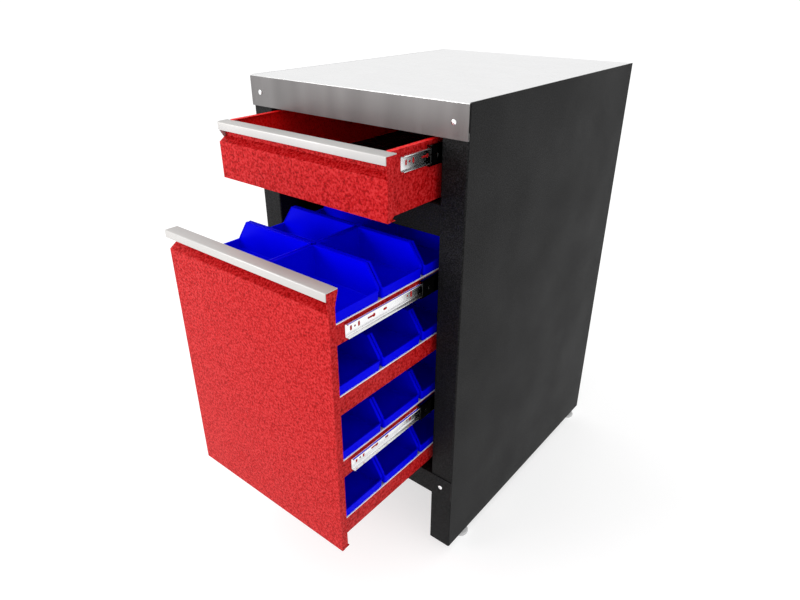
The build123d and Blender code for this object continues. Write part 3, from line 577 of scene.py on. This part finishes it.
low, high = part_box("top_front_rail")
rail_left, rail_right, rail_face = low.x, high.x, low.y + MIDDLE_RAIL_SHEET / 2
rail_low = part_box("pull_out_handle")[1].z + RAIL_TO_HANDLE + MIDDLE_RAIL_SHEET / 2
rail_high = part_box("top_drawer_front")[0].z - RAIL_TO_DRAWER - MIDDLE_RAIL_SHEET / 2
rail_back = rail_face + MIDDLE_RAIL_FLANGE
rail_line = [(rail_back, rail_low), (rail_face, rail_low), (rail_face, rail_high), (rail_back, rail_high)]
rail_section = sheet_section(rail_line, [MIDDLE_RAIL_BEND] * 2, MIDDLE_RAIL_SHEET)
middle_rail = prism("middle_front_rail", rail_section, 0, rail_left, rail_right, charcoal)
smooth(middle_rail)
worn(middle_rail, "cabinet", "charcoal_paint")


# Levelling feet. Each is a moulded plastic pad on a threaded steel stud with a spanner hexagon,
# screwed up into a nut on the side panel's bracket.
PAD_COLOUR = (0.62, 0.62, 0.62)
PAD_SHADE = (0.50, 0.50, 0.50)
PLASTIC_SKIN = 1400.0
PLASTIC_TONE = 40.0
PAD_OUTLINE = [
    (0.0165, 0.0),
    (0.0180, 0.0012),
    (0.0180, 0.0052),
    (0.0172, 0.0066),
    (0.0154, 0.0077),
    (0.0092, 0.0084),
    (0.0080, 0.0095),
    (0.0080, 0.0116),
    (0.0074, 0.0120),
]
PAD_SIDES = 48
HEX_RADIUS = 0.0096
HEX_HEIGHT = 0.006
HEX_EDGE = 0.0006
STUD_RADIUS = 0.0049
STUD_POINT = 0.001
STUD_SIDES = 20
THREAD_DEPTH = 0.0005
THREAD_PITCH = 0.0015
FEET = ["front_left_foot", "front_right_foot", "rear_left_foot", "rear_right_foot"]


def moulded_plastic(name, colour, shade, rough, depth):
    """Moulded plastic with a fine matt skin."""
    material, tree, shader, place = finish(name)
    skin = noise(tree, place, PLASTIC_SKIN)
    tone = noise(tree, place, PLASTIC_TONE)
    tree.links.new(ramp(tree, tone, (0.3, shade), (0.7, colour)), shader.inputs["Base Color"])
    tree.links.new(spread(tree, skin, rough - 0.05, rough + 0.08), shader.inputs["Roughness"])
    relief(tree, shader, skin, depth, strength=0.5)
    return material


def levelling_foot(name, middle, stud_top):
    """Pad with its collar, hexagon and threaded stud, standing on the floor at a place."""
    pad = turned(name, PAD_OUTLINE, PAD_SIDES, pad_plastic)
    hex_low = PAD_OUTLINE[-1][1]
    hex_high = hex_low + HEX_HEIGHT
    hexagon = turned("hexagon", [
        (HEX_RADIUS - HEX_EDGE, hex_low),
        (HEX_RADIUS, hex_low + HEX_EDGE),
        (HEX_RADIUS, hex_high - HEX_EDGE),
        (HEX_RADIUS - HEX_EDGE, hex_high),
    ], 6, zinc)
    thread = []
    level = hex_high
    while level < stud_top - THREAD_PITCH:
        thread += [(STUD_RADIUS - THREAD_DEPTH, level), (STUD_RADIUS, level + THREAD_PITCH / 2)]
        level += THREAD_PITCH
    stud = turned("stud", thread + [(STUD_RADIUS - STUD_POINT, stud_top)], STUD_SIDES, zinc)
    for part in (hexagon, stud):
        for face in part.data.polygons:
            face.material_index = 1
    pad.data.materials.append(zinc)
    foot = joined(name, [pad, hexagon, stud])
    foot.data.transform(Matrix.Translation(middle))
    return foot


pad_plastic = moulded_plastic("foot_plastic", PAD_COLOUR, PAD_SHADE, rough=0.5, depth=0.00003)
for name in FEET:
    low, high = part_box(name)
    middle = Vector(((low.x + high.x) / 2, (low.y + high.y) / 2, 0))
    foot = levelling_foot("levelling_" + name, middle, high.z)
    smooth(foot)
    worn(foot, name, "foot_plastic", name)


# Drawer fronts, trays and bin trays. They are folded steel under a red hammered powder coat whose
# coarse grain shows from a step away. The fronts are folded round a recessed grip. Inside the shallow
# drawer's tray the paint is given brighter reds: painted bounce light, standing in for the walls lighting
# each other.
# The dark stop is painted shade in the seams between the bumps, and the light stop is painted highlight on
# their crowns.
RED_SEAM_PAINTED_SHADE = (0.23, 0.0, 0.0)
RED = (0.41, 0.003, 0.004)
RED_CROWN_PAINTED_HIGHLIGHT = (0.55, 0.022, 0.024)
RED_STOPS = (0.34, 0.46, 0.64)
RED_GRAIN = 0.0037
RED_RELIEF = 0.0008
RED_ROUGH = (0.52, 0.36)
# Brighter reds for inside the shallow drawer's tray: painted bounce light.
PAINTED_BOUNCE_SEAM = (0.75, 0.0, 0.0)
PAINTED_BOUNCE_RED = (0.94, 0.004, 0.005)
PAINTED_BOUNCE_CROWN = (0.97, 0.02, 0.02)
TRAY_SHEET = 0.0012
RED_NODES = [
    "top_drawer_front",
    "pull_out_front",
    "pull_out_inner_front",
    "pull_out_rear_panel",
    "bin_tray_1",
    "bin_tray_2",
    "bin_tray_3",
    "bin_tray_4",
]


def from_middle(tree, place):
    """Distance from the cabinet's middle, left or right."""
    axes = tree.nodes.new("ShaderNodeSeparateXYZ")
    tree.links.new(place, axes.inputs["Vector"])
    across = tree.nodes.new("ShaderNodeMath")
    across.operation = "ABSOLUTE"
    tree.links.new(axes.outputs["X"], across.inputs[0])
    return across.outputs["Value"]


def painted_bounce_light(tree, place, bumps, colour, side):
    """The colour outside a tray, and brighter reds in it as painted bounce light; its sides are that far
    from the middle.
    """
    inside = ramp(tree, bumps, *zip(RED_STOPS, (PAINTED_BOUNCE_SEAM, PAINTED_BOUNCE_RED, PAINTED_BOUNCE_CROWN)))
    outer = spread(tree, from_middle(tree, place), 0.0, 1.0, side - TRAY_SHEET / 2, side - TRAY_SHEET / 4)
    both = tree.nodes.new("ShaderNodeMix")
    both.data_type = "RGBA"
    # The colour sockets of a mix are inputs 6 and 7 and output 2.
    tree.links.new(outer, both.inputs[0])
    tree.links.new(inside, both.inputs[6])
    tree.links.new(colour, both.inputs[7])
    return both.outputs[2]


def hammered_coat(name, side=None):
    """Textured red paint over rounded bumps; by the bump height the crowns get painted highlight and the
    seams painted shade.
    """
    material, tree, shader, place = finish(name)
    bumps = noise(tree, place, 1 / RED_GRAIN, roughness=0.55)
    colour = ramp(tree, bumps, *zip(RED_STOPS, (RED_SEAM_PAINTED_SHADE, RED, RED_CROWN_PAINTED_HIGHLIGHT)))
    if side:
        colour = painted_bounce_light(tree, place, bumps, colour, side)
    tree.links.new(colour, shader.inputs["Base Color"])
    tree.links.new(spread(tree, bumps, *RED_ROUGH), shader.inputs["Roughness"])
    shader.inputs["Specular IOR Level"].default_value = 0.07
    relief(tree, shader, bumps, RED_RELIEF, strength=0.9)
    return material


coat(RED_NODES, hammered_coat("red_hammered_coat"))
# Inside the shallow drawer's tray the red is painted brighter, as painted bounce light.
coat(["top_drawer_tray"], hammered_coat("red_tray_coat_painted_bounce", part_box("top_drawer_tray")[1].x))


# Handles. Each is an aluminium angle, satin anodised, laid over the grip with its lip turned down
# in front, as wide as the front. The shallow drawer's is carried round its left end.
ALUMINIUM = (0.54, 0.525, 0.51)
ALUMINIUM_DARK = (0.50, 0.488, 0.475)
ALUMINIUM_MARKS = 1200.0
ALUMINIUM_MARK_DEPTH = 0.00003
ALUMINIUM_TONE = 12.0
ALUMINIUM_ROUGH = (0.42, 0.54)
HANDLE_EDGE = 0.0004


def anodised():
    """Satin anodised aluminium with faint marks along its length."""
    material, tree, shader, place = finish("satin_aluminium")
    marks = noise(tree, place, ALUMINIUM_MARKS, stretch=(0.02, 1, 1))
    tone = noise(tree, place, ALUMINIUM_TONE)
    colour = ramp(tree, tone, (0.3, ALUMINIUM_DARK), (0.7, ALUMINIUM))
    tree.links.new(colour, shader.inputs["Base Color"])
    tree.links.new(spread(tree, marks, *ALUMINIUM_ROUGH), shader.inputs["Roughness"])
    shader.inputs["Metallic"].default_value = 0.35
    relief(tree, shader, marks, ALUMINIUM_MARK_DEPTH, strength=0.4)
    return material


def softened(piece, width, segments=2, angle=35):
    """Round the sharp edges of a piece a little."""
    bevel = piece.modifiers.new("soft_edges", "BEVEL")
    bevel.width = width
    bevel.segments = segments
    bevel.limit_method = "ANGLE"
    bevel.angle_limit = math.radians(angle)
    settle(piece)
    smooth(piece)


satin_aluminium = anodised()
for drawer in ("top_drawer", "pull_out"):
    handle = merged_copy(drawer + "_handle", drawer + "_grip_angle")
    handle.data.materials.clear()
    handle.data.materials.append(satin_aluminium)
    softened(handle, HANDLE_EDGE)
    worn(handle, drawer, "aluminium", drawer + "_handle")


# Slides. Three pairs of telescopic ball-bearing slides, rolled from steel strip. Each has a fixed, a
# middle and a sliding member, with slotted webs and rounded races. All are bright zinc plated but
# the middle one, which is made near black, and shorter at its front in the pull-out's slides. A slot
# is given by its distance from the member's front end, its length and its height.
# The middle members are made near black all over.
NEAR_BLACK = (0.032, 0.032, 0.031)
NEAR_BLACK_DARK = (0.024, 0.024, 0.024)
SLIDE_SHEET = 0.0012
SHORT_MIDDLE = 0.051
RACE_BEND = 0.0028
RACE_LIP_BEND = 0.0004
RACE_LIP = 0.0011
SLOT_LONG = 0.009
SLOT_SHORT = 0.0044
SLOT_TALL = 0.012
SMALL_HOLE = 0.0038
SLOT_ARC_STEPS = 6
KEYHOLE_AT = 0.058
KEYHOLE_LONG = 0.015
KEYHOLE_NECK = 0.0034
KEYHOLE_EYE = 0.0034
SLIDE_SLOTS = {
    "fixed": [
        (0.060, SLOT_LONG, SLOT_SHORT),
        (0.250, SLOT_LONG, SLOT_SHORT),
        (0.440, SLOT_LONG, SLOT_SHORT),
    ],
    "middle": [
        (0.0161, SLOT_SHORT, SLOT_LONG),
        (0.400, SLOT_LONG, SLOT_SHORT),
    ],
    "sliding": [
        (0.0125, SLOT_SHORT, SLOT_LONG),
        (0.0215, SMALL_HOLE, SMALL_HOLE),
        (0.0305, SLOT_SHORT, SLOT_LONG),
        (KEYHOLE_AT, KEYHOLE_LONG, KEYHOLE_NECK),
        (KEYHOLE_AT + KEYHOLE_LONG / 2, 2 * KEYHOLE_EYE, 2 * KEYHOLE_EYE),
        (0.0925, SLOT_LONG, SLOT_SHORT),
        (0.150, SMALL_HOLE, SMALL_HOLE),
        (0.160, SLOT_SHORT, SLOT_TALL),
        (0.460, SLOT_LONG, SLOT_SHORT),
    ],
}


def slot_outline(y, z, long, tall):
    """Slot with round ends, or a circle where it is as long as it is tall."""
    radius = min(long, tall) / 2
    reach_y, reach_z = long / 2 - radius, tall / 2 - radius
    points = []
    start = 0 if tall > long else -math.pi / 2
    for way in (1, -1):
        for step in range(SLOT_ARC_STEPS + 1):
            angle = start + math.pi * step / SLOT_ARC_STEPS + (0 if way > 0 else math.pi)
            points.append((
                y + way * reach_y + radius * math.cos(angle),
                z + way * reach_z + radius * math.sin(angle),
            ))
    return points


def slide_member(kind, web, edge, y0, y1, z, half):
    """One member: its section from the web to the races, carried along Y, then slotted."""
    t = SLIDE_SHEET / 2
    way = 1 if edge > web else -1
    web_line, edge_line = web + way * t, edge - way * t
    level = half - t
    turn = level - RACE_LIP
    points = [
        (edge_line, z - turn), (edge_line, z - level), (web_line, z - level),
        (web_line, z + level), (edge_line, z + level), (edge_line, z + turn),
    ]
    radii = [RACE_LIP_BEND, RACE_BEND, RACE_BEND, RACE_LIP_BEND]
    plate = near_black_metal if kind == "middle" else zinc
    section = sheet_section(points, radii, SLIDE_SHEET, steps=4)
    member = prism(f"{kind}_member", section, 1, y0, y1, plate)
    for distance, long, tall in SLIDE_SLOTS[kind]:
        hole = slot_outline(y0 + distance, z, long, tall)
        x0, x1 = sorted((web - way * SLIDE_SHEET, web + way * 2 * SLIDE_SHEET))
        cut(member, prism("slot", hole, 0, x0, x1, plate))
    return member


def rail_node(drawer, side, kind):
    """The node that holds one kind of member on one side of a drawer."""
    return f"{drawer}_{side}_{kind}_rail" + ("s" if drawer == "pull_out" else "")


def slide_levels(drawer, side, kind):
    """Half height of a member, and the middle height of each member on one side of a drawer."""
    low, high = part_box(rail_node("top_drawer", side, kind))
    half = (high.z - low.z) / 2
    low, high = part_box(rail_node(drawer, side, kind))
    return half, sorted({round(low.z + half, 5), round(high.z - half, 5)})


def slide_node(drawer, side, kind, body):
    """All members of one kind on one side of a drawer, as one piece."""
    node = rail_node(drawer, side, kind)
    low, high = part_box(node)
    half, levels = slide_levels(drawer, side, kind)
    web_on_right = (side == "right") != (kind == "sliding")
    web, edge = (high.x, low.x) if web_on_right else (low.x, high.x)
    front = low.y + (SHORT_MIDDLE if drawer == "pull_out" and kind == "middle" else 0.0)
    members = [slide_member(kind, web, edge, front, high.y, z, half) for z in levels]
    piece = joined(f"{drawer}_{side}_{kind}_slides", members)
    smooth(piece)
    worn(piece, body, "zinc", node)


near_black_metal = plated("near_black_metal", NEAR_BLACK, NEAR_BLACK_DARK, rough=0.12)
for drawer in ("top_drawer", "pull_out"):
    for side in ("left", "right"):
        slide_node(drawer, side, "fixed", "cabinet")
        slide_node(drawer, side, "middle", drawer + "_middle_rails")
        slide_node(drawer, side, "sliding", drawer)


# Ball cages. Strips of plated steel hold hardened steel balls between the races, above and below
# each member. The outer ones run between fixed and middle, the inner between middle and sliding.
CAGE_WIDTH = 0.0042
CAGE_SHEET = 0.001
CAGE_EDGE = 0.0003
BALL_RADIUS = 0.0015
BALLS = 12
BALL_SEGMENTS = 8
BALL_RINGS = 6


def steel_ball():
    """One ball at the origin."""
    rings = [math.pi * (step + 0.5) / BALL_RINGS - math.pi / 2 for step in range(BALL_RINGS)]
    profile = [(BALL_RADIUS * math.cos(a), BALL_RADIUS * math.sin(a)) for a in rings]
    return turned("ball", profile, BALL_SEGMENTS, zinc)


def cage_strips(drawer, ring, body):
    """The strips of one kind of cage on both sides of a drawer, with their balls."""
    node = f"{drawer}_{ring}_ball_cages"
    low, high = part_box(node)
    levels = slide_levels(drawer, "right", "fixed" if ring == "outer" else "middle")[1]
    offset = high.z - levels[-1] - BALL_RADIUS
    pieces = []
    ball = steel_ball()
    pitch = (high.y - low.y) / BALLS
    for x in (low.x + CAGE_WIDTH / 2, high.x - CAGE_WIDTH / 2):
        for z in [level + way * offset for level in levels for way in (-1, 1)]:
            w, h = CAGE_WIDTH / 2, CAGE_SHEET / 2
            outline = [(x - w, z - h), (x + w, z - h), (x + w, z + h), (x - w, z + h)]
            strip = prism("strip", outline, 1, low.y, high.y, zinc)
            softened(strip, CAGE_EDGE, segments=1)
            pieces.append(strip)
            pieces.append(repeated(
                "balls", line_copies, Piece=ball, Copies=BALLS, Start=(x, low.y + pitch / 2, z),
                Step=(0, pitch, 0), Finish=zinc,
            ))
    bpy.data.objects.remove(ball)
    cage = joined(f"{drawer}_{ring}_balls_and_cages", pieces)
    smooth(cage, angle=50)
    worn(cage, body, "zinc", node)


for drawer in ("top_drawer", "pull_out"):
    for ring in ("outer", "inner"):
        cage_strips(drawer, ring, f"{drawer}_{ring}_cages")


# Drawer mat. A black rubber mat with low flat ribs along the drawer lies loose on its floor.
RUBBER = (0.010, 0.010, 0.010)
RUBBER_LIGHT = (0.022, 0.022, 0.023)
MAT_RIB_HEIGHT = 0.0008
MAT_RIB_WIDTH = 0.005
MAT_RIB_PITCH = 0.012
MAT_RIB_EDGE = 0.0003
black_rubber = moulded_plastic("black_rubber", RUBBER_LIGHT, RUBBER, rough=0.6, depth=0.00006)
low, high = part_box("top_drawer_mat")
base_top = high.z - MAT_RIB_HEIGHT
mat_outline = [(low.x, low.y), (high.x, low.y), (high.x, high.y), (low.x, high.y)]
mat = prism("mat_base", mat_outline, 2, low.z, base_top, black_rubber)
softened(mat, MAT_RIB_EDGE)
half, sunk = MAT_RIB_WIDTH / 2, -MAT_RIB_EDGE
rib_outline = [(-half, sunk), (half, sunk), (half, MAT_RIB_HEIGHT), (-half, MAT_RIB_HEIGHT)]
rib = prism("rib", rib_outline, 1, low.y, high.y, black_rubber)
softened(rib, MAT_RIB_EDGE)
count = int((high.x - low.x - MAT_RIB_WIDTH) / MAT_RIB_PITCH)
start = ((low.x + high.x) / 2 - (count - 1) * MAT_RIB_PITCH / 2, 0, base_top)
ribs = repeated(
    "mat_ribs", line_copies,
    Piece=rib, Copies=count, Start=start, Step=(MAT_RIB_PITCH, 0, 0), Finish=black_rubber,
)
bpy.data.objects.remove(rib)
drawer_mat = joined("ribbed_drawer_mat", [mat, ribs])
smooth(drawer_mat)
worn(drawer_mat, "top_drawer", "rubber_mat", "top_drawer_mat")


# Tray liners. A sheet with a pale satin paint lies on each bin tray, and its edge shows all round as
# a light line. Further in, under the bins, it is painted darker: painted shade in the gaps between them.
LINERS = [f"bin_tray_{number}_liner" for number in range(1, 5)]
LINER_PALE = (0.90, 0.90, 0.89)
# Further in the liner is darker: painted shade in the gaps between the bins.
LINER_PAINTED_SHADE = (0.34, 0.34, 0.37)
LINER_EDGE = 0.0016
LINER_SKIN = 800.0
LINER_SKIN_DEPTH = 0.00003
LINER_ROUGH = (0.40, 0.50)


def liner_paint():
    """Pale satin paint along the open edges, and painted darker further in, as painted shade between the
    bins.
    """
    material, tree, shader, place = finish("pale_liner_paint")
    skin = noise(tree, place, LINER_SKIN)
    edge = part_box(LINERS[0])[1].x
    open_edge = spread(tree, from_middle(tree, place), 0.0, 1.0, edge - 2 * LINER_EDGE, edge - LINER_EDGE)
    colour = ramp(tree, open_edge, (0.0, LINER_PAINTED_SHADE), (1.0, LINER_PALE))
    tree.links.new(colour, shader.inputs["Base Color"])
    tree.links.new(spread(tree, skin, *LINER_ROUGH), shader.inputs["Roughness"])
    shader.inputs["Specular IOR Level"].default_value = 0.2
    relief(tree, shader, skin, LINER_SKIN_DEPTH, strength=0.4)
    return material


coat(LINERS, liner_paint())


# Parts bins. Forty open-fronted bins, moulded in blue plastic, stand loose on the trays in two rows
# of five, the deep row facing left and the short row facing right. Each has a turned-out rim, which
# dies away round the front, and a small bead inside it.
BLUE = (0.0, 0.0, 0.80)
BLUE_SHADE = (0.0, 0.0, 0.74)
BLUE_TONE = 14.0
BLUE_SKIN = 900.0
BLUE_SKIN_DEPTH = 0.00003
BLUE_ROUGH = (0.38, 0.48)
BIN_WALL = 0.002
BIN_RIM = 0.0025
BIN_RIM_DROP = 0.003
BIN_RIM_CROWN = 0.0002
BIN_RIM_ROOT = 0.15
BIN_RIM_FADE = 0.006
BIN_FRONT_DROP = 0.5
BIN_LIP_HEIGHT = 0.0195
BIN_BACK_CORNER = 0.004
BIN_FRONT_CORNER = 0.0035
BIN_INNER_CORNER = 0.0015
BIN_FOOT_CORNER = 0.0012
BIN_SIDE_POINT = 0.4
BIN_DRAFT = 0.0006
BIN_BEAD = 0.0008
BIN_BEAD_HEIGHT = 0.003
BIN_CORNER_STEPS = 5
BIN_COUNT = 5
BIN_PITCH = 0.110
RIGHT_BIN_SLOPE = 0.026
LEFT_BIN_SLOPE = 0.028


def blue_plastic():
    """Blue moulded plastic, satin, with a very fine skin."""
    material, tree, shader, place = finish("blue_bin_plastic")
    skin = noise(tree, place, BLUE_SKIN)
    tone = noise(tree, place, BLUE_TONE)
    tree.links.new(ramp(tree, tone, (0.3, BLUE_SHADE), (0.7, BLUE)), shader.inputs["Base Color"])
    tree.links.new(spread(tree, skin, *BLUE_ROUGH), shader.inputs["Roughness"])
    shader.inputs["Specular IOR Level"].default_value = 0.02
    relief(tree, shader, skin, BLUE_SKIN_DEPTH, strength=0.4)
    return material


def bin_plan(depth, half, kink, inset=0.0):
    """Rounded plan of the bin, from the front middle round to it again, moved in by an inset."""
    front, side, back = depth - inset, half - inset, BIN_RIM + inset
    r_front = BIN_FRONT_CORNER - inset
    r_back = max(BIN_BACK_CORNER - inset, BIN_INNER_CORNER)
    line = [(front, 0.0)]
    quarter = [math.pi / 2 * step / BIN_CORNER_STEPS for step in range(BIN_CORNER_STEPS + 1)]
    for a in quarter:
        line.append((front - r_front * (1 - math.cos(a)), side - r_front * (1 - math.sin(a))))
    line += [(kink, side), (depth * BIN_SIDE_POINT, side)]
    for a in quarter:
        line.append((back + r_back * (1 - math.sin(a)), side - r_back * (1 - math.cos(a))))
    return line + [(back, 0.0)] + [(x, -y) for x, y in line[::-1] if y > 0]


def with_normals(plan):
    """Each point of a plan with the direction that points out of it there."""
    line = []
    for index, (x, y) in enumerate(plan):
        before, after = plan[index - 1], plan[(index + 1) % len(plan)]
        along = Vector((after[0] - before[0], after[1] - before[1])).normalized()
        line.append((x, y, along.y, -along.x))
    return line


def open_bin(name, depth, half, top, slope):
    """One bin with its back at x = 0 and its open front towards +X, standing on z = 0.

    Its rings run from the floor inside up over the bead and the crown, out round the rim, and down
    the outside to the foot.
    """
    kink = depth - slope
    rise = (top - BIN_LIP_HEIGHT) / slope
    corner = depth - BIN_FRONT_CORNER

    def brim(x):
        """Height of the wall's top edge at a distance from the back."""
        return min(top, BIN_LIP_HEIGHT + max(depth - x, 0) * rise)

    def share_of_rim(x):
        """How much of the rim is left: all of it along the sides and the back."""
        return 1.0 if x < corner else max(0.0, 1 - (x - corner) / BIN_RIM_FADE)

    def leaning(plan, z):
        """Ring at a height, drawn in a little towards the foot by the draft."""
        lean = BIN_DRAFT * (1 - z / top)
        middle = depth / 2
        return [
            (x - math.copysign(lean, x - middle), y - math.copysign(min(lean, abs(y)), y), z)
            for x, y in plan
        ]

    outer = bin_plan(depth, half, kink)
    inner = bin_plan(depth, half, kink, BIN_WALL)
    bead = bin_plan(depth, half, kink, BIN_WALL + BIN_BEAD)
    crown = [((a + c) / 2, (b + d) / 2) for (a, b), (c, d) in zip(outer, bead)]
    brims = [brim(x) for x, y in outer]
    foot = BIN_FOOT_CORNER
    rings = [
        leaning(bin_plan(depth, half, kink, BIN_WALL + foot), BIN_WALL),
        leaning(inner, BIN_WALL + foot),
    ]
    for plan, down in (
        (inner, BIN_BEAD_HEIGHT),
        (bead, BIN_BEAD_HEIGHT - BIN_BEAD),
        (bead, BIN_BEAD),
        (crown, 0.0),
    ):
        rings.append([(x, y, level - down) for (x, y), level in zip(plan, brims)])
    for out, down in ((1.0, BIN_RIM_CROWN), (1.0, BIN_RIM_DROP), (BIN_RIM_ROOT, BIN_RIM_DROP)):
        ring = []
        for x, y, out_x, out_y in with_normals(outer):
            share = share_of_rim(x)
            drop = down if share > 0 else down * BIN_FRONT_DROP
            reach = BIN_RIM * out * share
            ring.append((x + out_x * reach, y + out_y * reach, brim(x) - drop))
        rings.append(ring)
    rings.append(leaning(outer, foot))
    rings.append(leaning(bin_plan(depth, half, kink, foot), 0.0))
    return lofted(name, rings, blue)


def bin_row(name, node, faces_right, count, start_y):
    """A row of bins on a tray, made from one bin and its copies."""
    low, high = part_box(node)
    half = (high.y - low.y - (count - 1) * BIN_PITCH) / 2 - BIN_RIM
    slope = RIGHT_BIN_SLOPE if faces_right else LEFT_BIN_SLOPE
    shape = open_bin("bin", high.x - low.x, half, high.z - low.z, slope)
    if not faces_right:
        shape.data.transform(Matrix.Rotation(math.pi, 4, "Z"))
    start = (low.x if faces_right else high.x, start_y, low.z)
    row = repeated(
        name, line_copies, Piece=shape, Copies=count, Start=start, Step=(0, BIN_PITCH, 0), Finish=blue
    )
    bpy.data.objects.remove(shape)
    smooth(row, angle=40)
    return row


def leave_out(row, start_y, end_y):
    """Take the bin between two places out of a row."""
    bins = bmesh.new()
    bins.from_mesh(row.data)
    taken = [face for face in bins.faces if start_y < face.calc_center_median().y < end_y]
    bmesh.ops.delete(bins, geom=taken, context="FACES")
    bins.to_mesh(row.data)
    bins.free()


blue = blue_plastic()
loose_low, loose_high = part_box("second_right_bin")
first_bin_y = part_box("left_bins_tray_1")[0].y + (loose_high.y - loose_low.y) / 2
for number in range(1, 5):
    left_node = f"left_bins_tray_{number}"
    left_row = bin_row(f"left_row_{number}_bins", left_node, False, BIN_COUNT, first_bin_y)
    worn(left_row, "pull_out", "blue_plastic", left_node)
    right_node = f"right_bins_tray_{number}"
    right_row = bin_row(f"right_row_{number}_bins", right_node, True, BIN_COUNT, first_bin_y)
    if number == 1:
        leave_out(right_row, loose_low.y, loose_high.y)
    worn(right_row, "pull_out", "blue_plastic", right_node)
second_bin = bin_row("loose_second_bin", "second_right_bin", True, 1, first_bin_y + BIN_PITCH)
worn(second_bin, "lift_out_bin", "blue_plastic", "second_right_bin")
